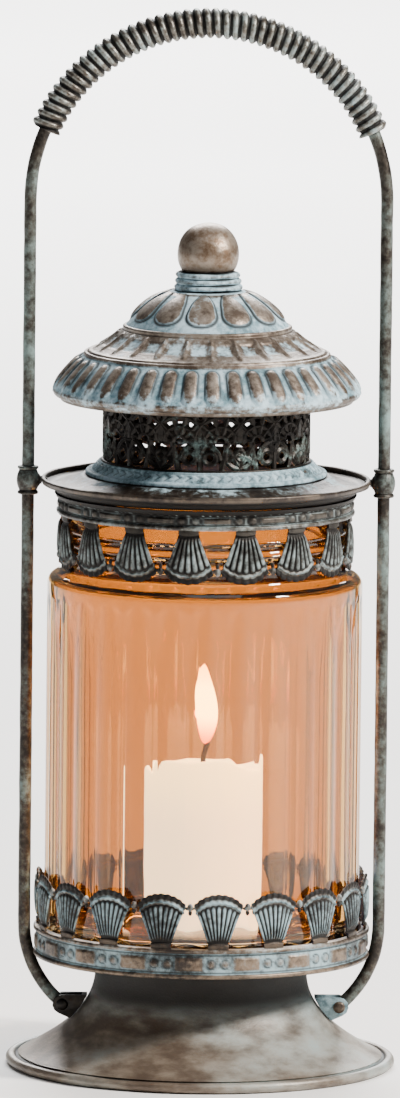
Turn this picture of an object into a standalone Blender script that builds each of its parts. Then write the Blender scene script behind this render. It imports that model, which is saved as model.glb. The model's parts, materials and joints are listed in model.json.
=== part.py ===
"""Candle lantern that stands on a flared foot or hangs by a tall fixed bail.

The foot carries a pan with a pierced gallery, and a glass jar with a candle stands in the pan.
A cover (shoulder plate, pierced vent and two-part roof) rests on the jar and slides up the bail's
two rods in a pair of sleeves. Sizes are in millimetres, and the meshes are written in metres.
The origin is the centre of the foot's underside, with +Z up and the bail in the XZ plane.
"""

import math

import bmesh
import bpy
from mathutils import Vector

MM = 0.001
GAP = 0.3  # between touching pieces
WELD = 1e-6  # metres, for points that are one point
TURNED_SEGMENTS = 32
SMALL_SEGMENTS = 16

# Sheet metal
SHEET = 0.8
FOOT_SHEET = 1.2
PAN_SHEET = 1.0

# Foot
FOOT_RADIUS = 78.0
FOOT_HEIGHT = 46.6
FOOT_NECK_RADIUS = 42.5
FOOT_FLARE_POWER = 2.4
FOOT_RIM_HEIGHT = 3.4
FOOT_RIM_WIDTH = 2.6
FOOT_SEAT_WIDTH = 4.4  # flat ring that the lantern stands on
FOOT_STRAIGHT = 6.0  # upright stretch at the top of the neck

# Jar and candle
JAR_RADIUS = 63.2
JAR_HEIGHT = 183.0
JAR_WALL = 4.0
JAR_BASE = 9.0
JAR_KICK = 3.6  # hollow under the jar's base
JAR_CORNER = 6.0
JAR_NECK_STEP = 6.6  # neck radius below body radius
JAR_SEAT_CLEARANCE = 1.0
CANDLE_RADIUS = 25.0
CANDLE_HEIGHT = 68.0
CANDLE_POOL_DEPTH = 4.0
WICK_RADIUS = 0.8
WICK_TOP = 9.0  # above the melted pool
WICK_START = 4.0  # above the candle's underside

# Lower gallery
LOWER_SHELLS = 18
LOWER_BAND = 12.0
LOWER_SHELL = 22.0
LOWER_DROP = 2.0  # band below the foot's top
LOWER_PHASE = 6.0  # degrees

# Pan
PAN_CORNER = 2.4

# Upper gallery
UPPER_SHELLS = 16
UPPER_BAND = 8.0
UPPER_SHELL = 21.6
UPPER_PHASE = -6.5
NECK_CLEARANCE = 1.2
SHOULDER_CLEARANCE = 1.0

# Shoulder plate and vent
RIM_RISE = 5.9  # plate's underside to the top of its lip
LIP_HEIGHT = 3.4
SHELF_RISE = 6.3
VENT_INSET = 15.0  # from the jar's neck
VENT_HEIGHT = 46.0
VENT_WINDOWS = 20
VENT_BORDER = 7.0
VENT_SEAT = 1.6  # plate and roof ledge, inside the vent's outer face
RING_WIDTH = 6.4
RING_HEIGHT = 5.6

# Roof
LEDGE_WIDTH = 7.0  # outside the vent
SKIRT_REACH = 12.9
SKIRT_DROP = 16.8
SKIRT_BOW = 1.9
SKIRT_LIP = 2.9
ROOF_RIM = 3.6
CROWN_RISE = 26.6
CONE_WIDTH = 14.5
DOME_RISE = 14.8
DOME_BOW = 2.2

# Finial
BALL_RADIUS = 12.45
BALL_CUT = 6.7  # centre of the ball above its flat underside
COLLAR_HEIGHT = 7.4
COLLAR_RADIUS = 13.8
COLLAR_TAPER = 1.0
COLLAR_RIDGE = 0.7
STUD_RADIUS = 1.95
STUD_BELOW = 6.2
STUD_DEPTH = 8.0  # in the ball
THREAD_CLEARANCE = 0.35

# Nuts and the pan's bolt
NUT_HEIGHT = 3.2
NUT_RADIUS = 4.1
NUT_CLEARANCE = 0.3  # beyond the shank's own hole
WASHER_HEIGHT = 0.8
WASHER_RADIUS = 4.8
BOLT_RADIUS = 2.4
BOLT_HEAD_RADIUS = 4.6
BOLT_HEAD_HEIGHT = 2.0
BOLT_LENGTH = 11.0

# Bail
ROD_RADIUS = 2.5
ROD_CLEARANCE = 2.4  # beside the lower gallery's shells
ROOF_CLEARANCE = 3.0  # beside the roof
HAND_GAP = 73.8  # finial to grip
GRIP_RADIUS = 6.2
GRIP_CLEARANCE = 0.45  # round the rod
GRIP_START = 23.5  # degrees above the arch's springing
ARCH_STATIONS = 36
GRIP_STATIONS = 20
BEND_STATIONS = 7
BEND_ROUNDS = 6  # of settling where the bend starts
ROD_SIDES = 8
GRIP_SIDES = 10

# Bail brackets on the foot
BRACKET_OUTSET = 4.6  # foot's surface behind the rivet, outside the foot's neck
BRACKET_REACH = 8.6  # rivet from the foot's surface
BRACKET_EYE = 3.8
BRACKET_DROP = 5.6
BRACKET_CHEEK = 1.9
BRACKET_WEB = 1.6
ROD_END = 3.4  # rod past the rivet
RIVET_RADIUS = 1.25
RIVET_HEAD = 2.4
RIVET_HEAD_HEIGHT = 1.3

# Guide sleeves
SLEEVE_WALL = 1.25
SLEEVE_HEIGHT = 11.5
SLEEVE_CLEARANCE = 0.35
SLEEVE_NECK = 1.7  # from the plate's lip to the sleeve
SLEEVE_NECK_RADIUS = 2.4
PIN_RADIUS = 0.9
PIN_HEAD_RADIUS = 1.3
PIN_HEAD_HEIGHT = 0.9

# Levels and radii that follow from the sizes above
PAN_FLOOR = FOOT_HEIGHT + GAP
FOOT_FLARE = FOOT_RADIUS - FOOT_RIM_WIDTH - FOOT_NECK_RADIUS
FOOT_CURVE = FOOT_HEIGHT - FOOT_STRAIGHT - FOOT_RIM_HEIGHT
BRACKET_SHARE = 1 - (BRACKET_OUTSET / FOOT_FLARE) ** (1 / FOOT_FLARE_POWER)
BRACKET_HEIGHT = FOOT_RIM_HEIGHT + FOOT_CURVE * BRACKET_SHARE
JAR_BOTTOM = PAN_FLOOR + PAN_SHEET + GAP
JAR_TOP = JAR_BOTTOM + JAR_HEIGHT
JAR_FLOOR = JAR_BOTTOM + JAR_BASE
NECK_RADIUS = JAR_RADIUS - JAR_NECK_STEP
VENT_RADIUS = NECK_RADIUS - VENT_INSET
CANDLE_BOTTOM = JAR_FLOOR + GAP
CANDLE_TOP = CANDLE_BOTTOM + CANDLE_HEIGHT
PAN_RADIUS = JAR_RADIUS + JAR_SEAT_CLEARANCE + PAN_SHEET
LOWER_RADIUS = PAN_RADIUS + GAP
LOWER_OUTER = LOWER_RADIUS + SHEET
LOWER_BOTTOM = FOOT_HEIGHT - LOWER_DROP
LOWER_TOP = LOWER_BOTTOM + LOWER_BAND
UPPER_RADIUS = NECK_RADIUS + NECK_CLEARANCE
UPPER_OUTER = UPPER_RADIUS + SHEET
PLATE_UNDER = JAR_TOP + GAP
UPPER_BASE = PLATE_UNDER - GAP - UPPER_BAND
SHOULDER_TOP = UPPER_BASE - UPPER_SHELL - SHOULDER_CLEARANCE
SKIRT_TOP_RADIUS = VENT_RADIUS + LEDGE_WIDTH
ROOF_RADIUS = SKIRT_TOP_RADIUS + SKIRT_REACH
BAIL_X = max(LOWER_OUTER + ROD_CLEARANCE, ROOF_RADIUS + ROOF_CLEARANCE) + ROD_RADIUS
SLEEVE_BORE = ROD_RADIUS + SLEEVE_CLEARANCE
SLEEVE_RADIUS = SLEEVE_BORE + SLEEVE_WALL
PLATE_RADIUS = BAIL_X - SLEEVE_RADIUS - SLEEVE_NECK
SHELF_UNDER = PLATE_UNDER + SHELF_RISE
SHELF_TOP = SHELF_UNDER + SHEET
LIP_TOP = PLATE_UNDER + RIM_RISE
LIP_BOTTOM = LIP_TOP - LIP_HEIGHT
PIN_LEVEL = LIP_BOTTOM + PIN_HEAD_RADIUS + 2 * GAP
VENT_BOTTOM = SHELF_TOP + GAP
VENT_TOP = VENT_BOTTOM + VENT_HEIGHT
RING_INNER = VENT_RADIUS + GAP
LEDGE_UNDER = VENT_TOP + GAP
LEDGE_TOP = LEDGE_UNDER + SHEET
SKIRT_TOP = LEDGE_TOP + SKIRT_LIP
CROWN_BOTTOM = LEDGE_TOP + GAP
CROWN_RADIUS = SKIRT_TOP_RADIUS - SHEET - GAP
DOME_RADIUS = CROWN_RADIUS - CONE_WIDTH
CROWN_TOP_RADIUS = COLLAR_RADIUS + GAP
CROWN_TOP = CROWN_BOTTOM + CROWN_RISE
COLLAR_BOTTOM = CROWN_TOP + GAP
BALL_BOTTOM = COLLAR_BOTTOM + COLLAR_HEIGHT + GAP
BALL_CENTRE = BALL_BOTTOM + BALL_CUT
FINIAL_TOP = BALL_CENTRE + BALL_RADIUS
ARCH_CENTRE = FINIAL_TOP + HAND_GAP + GRIP_RADIUS - BAIL_X
STUD_HOLE = STUD_RADIUS + THREAD_CLEARANCE
BOLT_HOLE = BOLT_RADIUS + THREAD_CLEARANCE


# ---------------------------------------------------------------- materials


def material(name, colour, roughness, metallic):
    """A plain Principled material with these values."""
    made = bpy.data.materials.new(name)
    made.use_nodes = True
    shader = made.node_tree.nodes["Principled BSDF"]
    shader.inputs["Base Color"].default_value = (*colour, 1.0)
    shader.inputs["Roughness"].default_value = roughness
    shader.inputs["Metallic"].default_value = metallic
    return made


def make_materials():
    """The lantern's finishes, by name."""
    return {
        "verdigris": material("verdigris_iron", (0.30, 0.42, 0.43), 0.6, 0.5),
        "bronze": material("rubbed_bronze", (0.25, 0.17, 0.11), 0.42, 0.9),
        "dark": material("dark_iron", (0.07, 0.06, 0.055), 0.55, 0.8),
        "wire": material("grip_wire", (0.33, 0.30, 0.27), 0.5, 0.8),
        "glass": material("amber_glass", (0.85, 0.55, 0.38), 0.08, 0.0),
        "wax": material("candle_wax", (0.93, 0.88, 0.84), 0.45, 0.0),
        "wick": material("charred_wick", (0.05, 0.04, 0.035), 0.9, 0.0),
    }


# ---------------------------------------------------------------- outlines


def bowed(start, end, bow, steps):
    """Points from start to end, bowed to the left of that direction by a parabola."""
    along = Vector(end) - Vector(start)
    left = Vector((-along.y, along.x)).normalized()
    shares = (i / steps for i in range(steps + 1))
    return [Vector(start) + along * t + left * bow * 4 * t * (1 - t) for t in shares]


def arc(centre, radius, first, last, steps):
    """Points on an arc about centre, from the first to the last angle in degrees."""
    angles = (math.radians(first + (last - first) * i / steps) for i in range(steps + 1))
    return [Vector(centre) + Vector((math.cos(a), math.sin(a))) * radius for a in angles]


def sheet_outline(path, thickness):
    """Closed outline of a sheet whose one face follows path and whose other lies to its left."""
    points = [Vector(p) for p in path]
    ways = [(b - a).normalized() for a, b in zip(points, points[1:])]
    lefts = [Vector((-way.y, way.x)) for way in ways]
    before = [lefts[0], *lefts]
    after = [*lefts, lefts[-1]]
    moved = [
        point + (one + two) * thickness / (1 + one.dot(two))
        for point, one, two in zip(points, before, after)
    ]
    return points + moved[::-1]


def foot_surface(level):
    """Radius of the foot's outer face at a level."""
    share = min(1.0, (level - FOOT_RIM_HEIGHT) / FOOT_CURVE)
    return FOOT_NECK_RADIUS + FOOT_FLARE * (1 - share) ** FOOT_FLARE_POWER


# ---------------------------------------------------------------- solids


def finish(name, bm, finish_material, smooth_angle=35):
    """Turns a closed bmesh in millimetres into an object in metres."""
    bmesh.ops.scale(bm, vec=(MM, MM, MM), verts=bm.verts)
    bmesh.ops.remove_doubles(bm, verts=bm.verts, dist=WELD)
    bmesh.ops.recalc_face_normals(bm, faces=bm.faces)
    mesh = bpy.data.meshes.new(name)
    bm.to_mesh(mesh)
    bm.free()
    mesh.shade_smooth()
    mesh.set_sharp_from_angle(angle=math.radians(smooth_angle))
    mesh.materials.append(finish_material)
    made = bpy.data.objects.new(name, mesh)
    bpy.context.scene.collection.objects.link(made)
    return made


def spun(outline, segments):
    """A bmesh of an (r, z) outline turned about Z. An edge along the axis is left open."""
    bm = bmesh.new()
    verts = [bm.verts.new((p[0], 0, p[1])) for p in outline]
    ends = list(zip(verts, verts[1:]))
    if outline[0][0] > 0 or outline[-1][0] > 0:
        ends.append((verts[-1], verts[0]))
    edges = [bm.edges.new(pair) for pair in ends]
    bmesh.ops.spin(
        bm, geom=verts + edges, axis=(0, 0, 1), cent=(0, 0, 0),
        angle=2 * math.pi, steps=segments, use_merge=True,
    )
    return bm


def turned(name, outline, finish_material, segments=TURNED_SEGMENTS):
    """A solid of revolution about Z."""
    return finish(name, spun(outline, segments), finish_material)


def lay_along_x(bm, x, z, facing):
    """Turns a solid made about Z so that its +Z points along X, and moves it to (x, 0, z)."""
    for vert in bm.verts:
        across, up = vert.co.x, vert.co.z
        vert.co.x = x + facing * up
        vert.co.z = z + across
    return bm


def lay_along_y(bm, x, z):
    """Turns a solid made about Z so that its +Z points along -Y, and moves it to (x, 0, z)."""
    for vert in bm.verts:
        vert.co = Vector((x + vert.co.x, -vert.co.z, z + vert.co.y))
    return bm


def plate_along_y(outline, half_width):
    """A bmesh of an (x, z) outline extruded along Y to both sides."""
    bm = bmesh.new()
    face = bm.faces.new([bm.verts.new((p[0], -half_width, p[1])) for p in outline])
    grown = bmesh.ops.extrude_face_region(bm, geom=[face])["geom"]
    moved = [item for item in grown if isinstance(item, bmesh.types.BMVert)]
    bmesh.ops.translate(bm, vec=(0, 2 * half_width, 0), verts=moved)
    return bm


def combine(target, name, bm, operation):
    """Combines target with a closed bmesh, and keeps that second solid hidden."""
    tool = finish(name, bm, target.data.materials[0])
    tool.hide_render = True
    tool.display_type = "WIRE"
    modifier = target.modifiers.new(name, "BOOLEAN")
    modifier.operation = operation
    modifier.object = tool


def cut(target, name, bm):
    """Cuts a closed bmesh out of target."""
    combine(target, name, bm, "DIFFERENCE")


def join(target, name, bm):
    """Joins a closed bmesh to target."""
    combine(target, name, bm, "UNION")


def wrapped_sheet(name, radius, tile, copies, phase, finish_material):
    """A pierced sheet ring. The tile's polygons hold (share of the pitch, level) points."""
    bm = bmesh.new()
    pitch = 2 * math.pi / copies
    for copy in range(copies):
        for polygon in tile:
            ring = []
            for share, level in polygon:
                angle = math.radians(phase - 90) + (copy + share) * pitch
                at = (radius * math.cos(angle), radius * math.sin(angle), level)
                ring.append(bm.verts.new(at))
            bm.faces.new(ring)
    bmesh.ops.remove_doubles(bm, verts=bm.verts, dist=WELD / MM)
    grown = bmesh.ops.extrude_face_region(bm, geom=list(bm.faces))["geom"]
    outer = (radius + SHEET) / radius
    moved = [item for item in grown if isinstance(item, bmesh.types.BMVert)]
    bmesh.ops.scale(bm, vec=(outer, outer, 1), verts=moved)
    bmesh.ops.triangulate(bm, faces=bm.faces)
    return finish(name, bm, finish_material, smooth_angle=25)


def mirrored(polygons):
    """The polygons with their copies on the other side of share 0."""
    return polygons + [[(-share, level) for share, level in p[::-1]] for p in polygons]


def shell_tile(base, band, shell):
    """One shell of a gallery, from its band's edge to its tip; negative sizes point it down."""

    def up(share):
        return base + shell * share

    foot = (0.195, base)
    side = [(0.205, up(0.15)), (0.275, up(0.38)), (0.388, up(0.57))]
    fan = [(0.393 * math.cos(a), up(0.745 + 0.255 * math.sin(a)))
           for a in (0, math.pi / 6, math.pi / 3, math.pi / 2)]
    link = [side[-1], (0.5, up(0.61)), (0.5, up(0.87)), (0.435, up(0.82)), fan[0]]
    body = [(0, base), foot, *side, *fan]
    strip = [(0, base - band), (0.5, base - band), (0.5, base), foot, (0, base)]
    return mirrored([strip, body, link])


def vent_tile():
    """One lozenge window of the vent, with the metal around it."""
    low, high = VENT_BOTTOM + VENT_BORDER, VENT_TOP - VENT_BORDER
    middle = (low + high) / 2
    window = [(0, low), (0.3, middle), (0, high)]
    corners = [(0, VENT_BOTTOM), (0.5, VENT_BOTTOM), (0.5, middle), (0.5, VENT_TOP), (0, VENT_TOP)]
    below = [corners[0], corners[1], corners[2], window[1], window[0]]
    above = [window[1], corners[2], corners[3], corners[4], window[2]]
    return mirrored([below, above])


def tube_along(path, radii, sides):
    """A bmesh tube through points of the XZ plane. Two radii make it hollow."""
    bm = bmesh.new()
    ways = [(b - a).normalized() for a, b in zip(path, path[1:])]
    rows = []
    for i, point in enumerate(path):
        way = (ways[max(i - 1, 0)] + ways[min(i, len(ways) - 1)]).normalized()
        across = Vector((way.y, -way.x))
        rings = []
        for radius in radii:
            angles = [2 * math.pi * k / sides for k in range(sides)]
            spread = [(point + across * radius * math.cos(a), radius * math.sin(a)) for a in angles]
            rings.append([bm.verts.new((flat.x, y, flat.y)) for flat, y in spread])
        rows.append(rings)
    for one, two in zip(rows, rows[1:]):
        for inner, outer in zip(one, two):
            join_rings(bm, inner, outer)
    for end in (rows[0], rows[-1]):
        if len(radii) == 1:
            bm.faces.new(end[0])
        else:
            join_rings(bm, end[0], end[1])
    return bm


def join_rings(bm, one, two):
    """Quads between two rings of as many points."""
    for k in range(len(one)):
        after = (k + 1) % len(one)
        bm.faces.new((one[k], one[after], two[after], two[k]))


# ---------------------------------------------------------------- stand


def make_foot(finishes):
    """The flared foot, one spun sheet with a rolled rim, open underneath."""
    steps = 7
    levels = [FOOT_RIM_HEIGHT + FOOT_CURVE * (i / steps) ** 1.3 for i in range(steps + 1)]
    outside = [(foot_surface(level), level) for level in levels]
    outside += [(FOOT_NECK_RADIUS, FOOT_HEIGHT), (BOLT_HOLE, FOOT_HEIGHT)]
    inside = sheet_outline(outside, FOOT_SHEET)[len(outside):]
    rim = [
        (FOOT_RADIUS - FOOT_SEAT_WIDTH, inside[-1].y),
        (FOOT_RADIUS - FOOT_SEAT_WIDTH, 0),
        (FOOT_RADIUS - 0.7, 0),
        (FOOT_RADIUS, 0.9),
        (FOOT_RADIUS - 0.2, FOOT_RIM_HEIGHT - 0.8),
        (FOOT_RADIUS - 1.1, FOOT_RIM_HEIGHT),
    ]
    turned("foot", outside + inside[:-1] + rim, finishes["verdigris"])


def make_pan(finishes):
    """The pan that the jar stands in."""
    path = [
        (BOLT_HOLE, PAN_FLOOR),
        (PAN_RADIUS - PAN_CORNER, PAN_FLOOR),
        (PAN_RADIUS, PAN_FLOOR + PAN_CORNER),
        (PAN_RADIUS, LOWER_TOP),
    ]
    turned("pan", sheet_outline(path, PAN_SHEET), finishes["dark"])


def make_galleries(finishes):
    """The two pierced rings of shells: one stands up from the pan, one hangs from the cover."""
    lower = shell_tile(LOWER_TOP, LOWER_BAND, LOWER_SHELL)
    wrapped_sheet("lower_gallery", LOWER_RADIUS, lower, LOWER_SHELLS, LOWER_PHASE, finishes["verdigris"])
    upper = shell_tile(UPPER_BASE, -UPPER_BAND, -UPPER_SHELL)
    wrapped_sheet("upper_gallery", UPPER_RADIUS, upper, UPPER_SHELLS, UPPER_PHASE, finishes["verdigris"])


def hex_nut(name, bore, level, finish_material):
    """A six-sided nut about Z, with its underside at a level."""
    outer = [(NUT_RADIUS, level), (NUT_RADIUS, level + NUT_HEIGHT)]
    inner = [(bore, level + NUT_HEIGHT), (bore, level)]
    turned(name, outer + inner, finish_material, segments=6)


def washer(name, bore, level, finish_material):
    """A plain washer about Z, with its underside at a level."""
    top = level + WASHER_HEIGHT
    outline = [(bore, level), (WASHER_RADIUS, level), (WASHER_RADIUS, top), (bore, top)]
    turned(name, outline, finish_material, segments=SMALL_SEGMENTS)


def make_pan_fastening(finishes):
    """The bolt, washer and nut that hold the pan on the foot."""
    under_head = PAN_FLOOR + PAN_SHEET + GAP
    head_top = under_head + BOLT_HEAD_HEIGHT
    outline = [
        (0, under_head - BOLT_LENGTH),
        (BOLT_RADIUS, under_head - BOLT_LENGTH),
        (BOLT_RADIUS, under_head),
        (BOLT_HEAD_RADIUS, under_head),
        (BOLT_HEAD_RADIUS * 0.86, head_top - 0.5),
        (BOLT_HEAD_RADIUS * 0.5, head_top),
        (0, head_top),
    ]
    turned("pan_bolt", outline, finishes["dark"], segments=SMALL_SEGMENTS)
    washer_level = FOOT_HEIGHT - FOOT_SHEET - GAP - WASHER_HEIGHT
    washer("pan_washer", BOLT_HOLE, washer_level, finishes["dark"])
    hex_nut("pan_nut", BOLT_HOLE + NUT_CLEARANCE, washer_level - GAP - NUT_HEIGHT, finishes["dark"])


def bracket_rivet_place():
    """(x, z) of the right bracket's rivet."""
    return foot_surface(BRACKET_HEIGHT) + BRACKET_REACH, BRACKET_HEIGHT


def rod_bend(rivet):
    """(start level, radius, turn) of the bend to the bracket, as wide as clears the lower band."""
    start = LOWER_BOTTOM
    for _ in range(BEND_ROUNDS):
        drop = start - rivet.y
        turn = 2 * math.atan2(BAIL_X - rivet.x, drop)
        radius = drop / math.sin(turn)
        start = LOWER_BOTTOM + math.sqrt(2 * radius * (ROD_CLEARANCE - 2 * GAP))
    drop = start - rivet.y
    turn = 2 * math.atan2(BAIL_X - rivet.x, drop)
    return start, drop / math.sin(turn), turn


def bail_path():
    """The rod's centre line, from the left bracket over the arch to the right bracket."""
    start, radius, turn = rod_bend(Vector(bracket_rivet_place()))
    centre = (BAIL_X - radius, start)
    bend = arc(centre, radius, 0, -math.degrees(turn), BEND_STATIONS)
    way = Vector((-math.sin(turn), -math.cos(turn)))
    right = [*bend, bend[-1] + way * ROD_END]
    arch = arc((0, ARCH_CENTRE), BAIL_X, 180, 0, ARCH_STATIONS)
    left = [Vector((-p.x, p.y)) for p in right[::-1]]
    return left + arch + right


def make_bail(finishes):
    """The bail: one rod bent into two uprights and an arch, with a rivet hole at each end."""
    bail = finish("bail_rod", tube_along(bail_path(), [ROD_RADIUS], ROD_SIDES), finishes["verdigris"])
    x, z = bracket_rivet_place()
    reach = 2 * ROD_RADIUS
    for side, word in ((-1, "left"), (1, "right")):
        hole = [(0, -reach), (RIVET_RADIUS + GAP, -reach), (RIVET_RADIUS + GAP, reach), (0, reach)]
        cut(bail, f"cut_rod_{word}", lay_along_y(spun(hole, 8), side * x, z))
    arch = arc((0, ARCH_CENTRE), BAIL_X, 180 - GRIP_START, GRIP_START, GRIP_STATIONS)
    grip = tube_along(arch, [ROD_RADIUS + GRIP_CLEARANCE, GRIP_RADIUS], GRIP_SIDES)
    finish("grip_wrap", grip, finishes["wire"], smooth_angle=60)


def bracket_outline(side, back, spare):
    """Side view of a bracket: its foot edge back from the foot, and its other edges grown by spare."""
    x, z = bracket_rivet_place()
    top, bottom = z + BRACKET_EYE + spare, z - BRACKET_DROP - spare
    levels = [top, (top + bottom) / 2, bottom]
    inner = [(foot_surface(level) + back, level) for level in levels]
    eye = arc((x, z), BRACKET_EYE + spare, -70, 90, 5)
    return [(side * p[0], p[1]) for p in [*inner, *eye]]


def make_brackets(finishes):
    """The two forked brackets that hold the rod's ends on the foot, and their rivets."""
    x, z = bracket_rivet_place()
    half = ROD_RADIUS + GAP + BRACKET_CHEEK
    bore = RIVET_RADIUS + GAP
    hole = [(0, -half - 1), (bore, -half - 1), (bore, half + 1), (0, half + 1)]
    for side, word in ((-1, "left"), (1, "right")):
        block = plate_along_y(bracket_outline(side, 2 * GAP, 0), half)
        bracket = finish(f"bail_bracket_{word}", block, finishes["verdigris"])
        fork = plate_along_y(bracket_outline(side, 2 * GAP + BRACKET_WEB, 3), ROD_RADIUS + GAP)
        cut(bracket, f"cut_fork_{word}", fork)
        cut(bracket, f"cut_rivet_{word}", lay_along_y(spun(hole, 8), side * x, z))
        rivet = lay_along_y(spun(rivet_outline(half + GAP), 12), side * x, z)
        finish(f"bail_rivet_{word}", rivet, finishes["bronze"])


def rivet_outline(half):
    """A rivet with a domed head at each end, centred on its shank."""
    def head(sign):
        return [
            (RIVET_RADIUS, sign * half),
            (RIVET_HEAD, sign * half),
            (RIVET_HEAD * 0.8, sign * (half + RIVET_HEAD_HEIGHT * 0.7)),
            (0, sign * (half + RIVET_HEAD_HEIGHT)),
        ]

    return head(-1)[::-1] + head(1)


# ---------------------------------------------------------------- jar and candle


def make_jar(finishes):
    """The glass jar, with a thick base and a short neck that the cover hangs round."""
    body_inner, neck_inner = JAR_RADIUS - JAR_WALL, NECK_RADIUS - JAR_WALL
    seat = JAR_RADIUS - 2 * JAR_CORNER
    outside = [(0, JAR_BOTTOM + JAR_KICK), (0.35 * seat, JAR_BOTTOM + JAR_KICK), (seat, JAR_BOTTOM)]
    outside += arc((JAR_RADIUS - JAR_CORNER, JAR_BOTTOM + JAR_CORNER), JAR_CORNER, -90, 0, 3)
    shoulder = (NECK_RADIUS, SHOULDER_TOP - JAR_NECK_STEP)
    outside += arc(shoulder, JAR_NECK_STEP, 0, 90, 3)
    rim = [
        (NECK_RADIUS, JAR_TOP - 1),
        (NECK_RADIUS - 1, JAR_TOP),
        (neck_inner + 1, JAR_TOP),
        (neck_inner, JAR_TOP - 1),
    ]
    inside = [
        (neck_inner, SHOULDER_TOP - 1.5),
        (body_inner, SHOULDER_TOP - JAR_NECK_STEP - 1.5),
        (body_inner, JAR_FLOOR + JAR_CORNER),
        (body_inner - 0.6 * JAR_CORNER, JAR_FLOOR),
        (0, JAR_FLOOR),
    ]
    turned("glass_jar", outside + rim + inside, finishes["glass"])


def make_candle(finishes):
    """The candle with its melted hollow, and the wick in the candle's bore."""
    pool = CANDLE_TOP - CANDLE_POOL_DEPTH
    bore = WICK_RADIUS + GAP
    wick_bottom = CANDLE_BOTTOM + WICK_START
    outline = [
        (0, CANDLE_BOTTOM),
        (CANDLE_RADIUS, CANDLE_BOTTOM),
        (CANDLE_RADIUS, CANDLE_TOP - 1),
        (CANDLE_RADIUS - 1.5, CANDLE_TOP),
        (CANDLE_RADIUS - 4, CANDLE_TOP - 1.5),
        (0.6 * CANDLE_RADIUS, pool),
        (bore, pool),
        (bore, wick_bottom),
        (0, wick_bottom),
    ]
    turned("candle", outline, finishes["wax"], segments=24)
    low, high = wick_bottom + GAP, pool + WICK_TOP
    wick = [(0, low), (WICK_RADIUS, low), (WICK_RADIUS, high - 0.6), (0, high)]
    turned("wick", wick, finishes["wick"], segments=8)


# ---------------------------------------------------------------- cover


def make_shoulder_plate(finishes):
    """The dished plate over the jar: a riveted lip, a gutter and a shelf for the vent."""
    shelf = RING_INNER + RING_WIDTH + 1.2
    gutter = NECK_RADIUS - JAR_WALL + 1
    cove = UPPER_OUTER + 1
    path = [
        (VENT_RADIUS - VENT_SEAT, SHELF_UNDER),
        (shelf, SHELF_UNDER),
        (gutter, PLATE_UNDER),
        (cove, PLATE_UNDER),
        (cove + 0.5 * (PLATE_RADIUS - cove), PLATE_UNDER + 0.3 * (LIP_BOTTOM - PLATE_UNDER)),
        (PLATE_RADIUS, LIP_BOTTOM),
        (PLATE_RADIUS, LIP_TOP),
    ]
    plate = turned("shoulder_plate", sheet_outline(path, SHEET), finishes["dark"])
    bore = PIN_RADIUS + GAP
    hole = [(0, -3), (bore, -3), (bore, 3), (0, 3)]
    for side, word in ((-1, "left"), (1, "right")):
        cut(plate, f"cut_lip_{word}", lay_along_x(spun(hole, 8), side * PLATE_RADIUS, PIN_LEVEL, side))


def make_vent(finishes):
    """The pierced vent collar and the moulded ring round its base."""
    wrapped_sheet("vent_collar", VENT_RADIUS - SHEET, vent_tile(), VENT_WINDOWS, 0, finishes["dark"])
    outline = [
        (RING_INNER, VENT_BOTTOM),
        (RING_INNER + RING_WIDTH, VENT_BOTTOM),
        (RING_INNER + RING_WIDTH, VENT_BOTTOM + 1.2),
        (RING_INNER + 0.55 * RING_WIDTH, VENT_BOTTOM + 0.85 * RING_HEIGHT),
        (RING_INNER + 0.2 * RING_WIDTH, VENT_BOTTOM + RING_HEIGHT),
        (RING_INNER, VENT_BOTTOM + RING_HEIGHT),
    ]
    turned("vent_ring", outline, finishes["verdigris"])


def make_roof(finishes):
    """The skirt with its ledge on the vent, and the domed crown that stands on the ledge."""
    rim_level = SKIRT_TOP - SKIRT_DROP
    bow = bowed((SKIRT_TOP_RADIUS, SKIRT_TOP), (ROOF_RADIUS, rim_level), SKIRT_BOW, 4)
    upper = [
        (VENT_RADIUS - VENT_SEAT, LEDGE_TOP),
        (SKIRT_TOP_RADIUS - SHEET, LEDGE_TOP),
        (SKIRT_TOP_RADIUS - SHEET, SKIRT_TOP - 0.3),
    ]
    under_bow = bowed(
        (SKIRT_TOP_RADIUS, SKIRT_TOP - 2 * SHEET),
        (ROOF_RADIUS - SHEET, rim_level),
        SKIRT_BOW, 4,
    )
    rim = [(ROOF_RADIUS - 0.4, rim_level - 0.6 * ROOF_RIM), (ROOF_RADIUS - 2.4, rim_level - ROOF_RIM),
           (ROOF_RADIUS - 3.0, rim_level - ROOF_RIM + 0.7)]
    under = under_bow[::-1] + [(SKIRT_TOP_RADIUS, LEDGE_UNDER), (VENT_RADIUS - VENT_SEAT, LEDGE_UNDER)]
    turned("roof_skirt", upper + bow + rim + under, finishes["verdigris"])

    dome_level = CROWN_TOP - DOME_RISE
    dome = bowed((CROWN_TOP_RADIUS, CROWN_TOP), (DOME_RADIUS, dome_level), DOME_BOW, 3)
    cone = bowed((DOME_RADIUS + 0.6, dome_level - 0.7), (CROWN_RADIUS, CROWN_BOTTOM + 1), -0.8, 2)
    path = [(STUD_HOLE, CROWN_TOP), *dome, *cone, (CROWN_RADIUS, CROWN_BOTTOM)]
    outline = sheet_outline(path, -SHEET)
    turned("roof_crown", outline, finishes["verdigris"])


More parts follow.
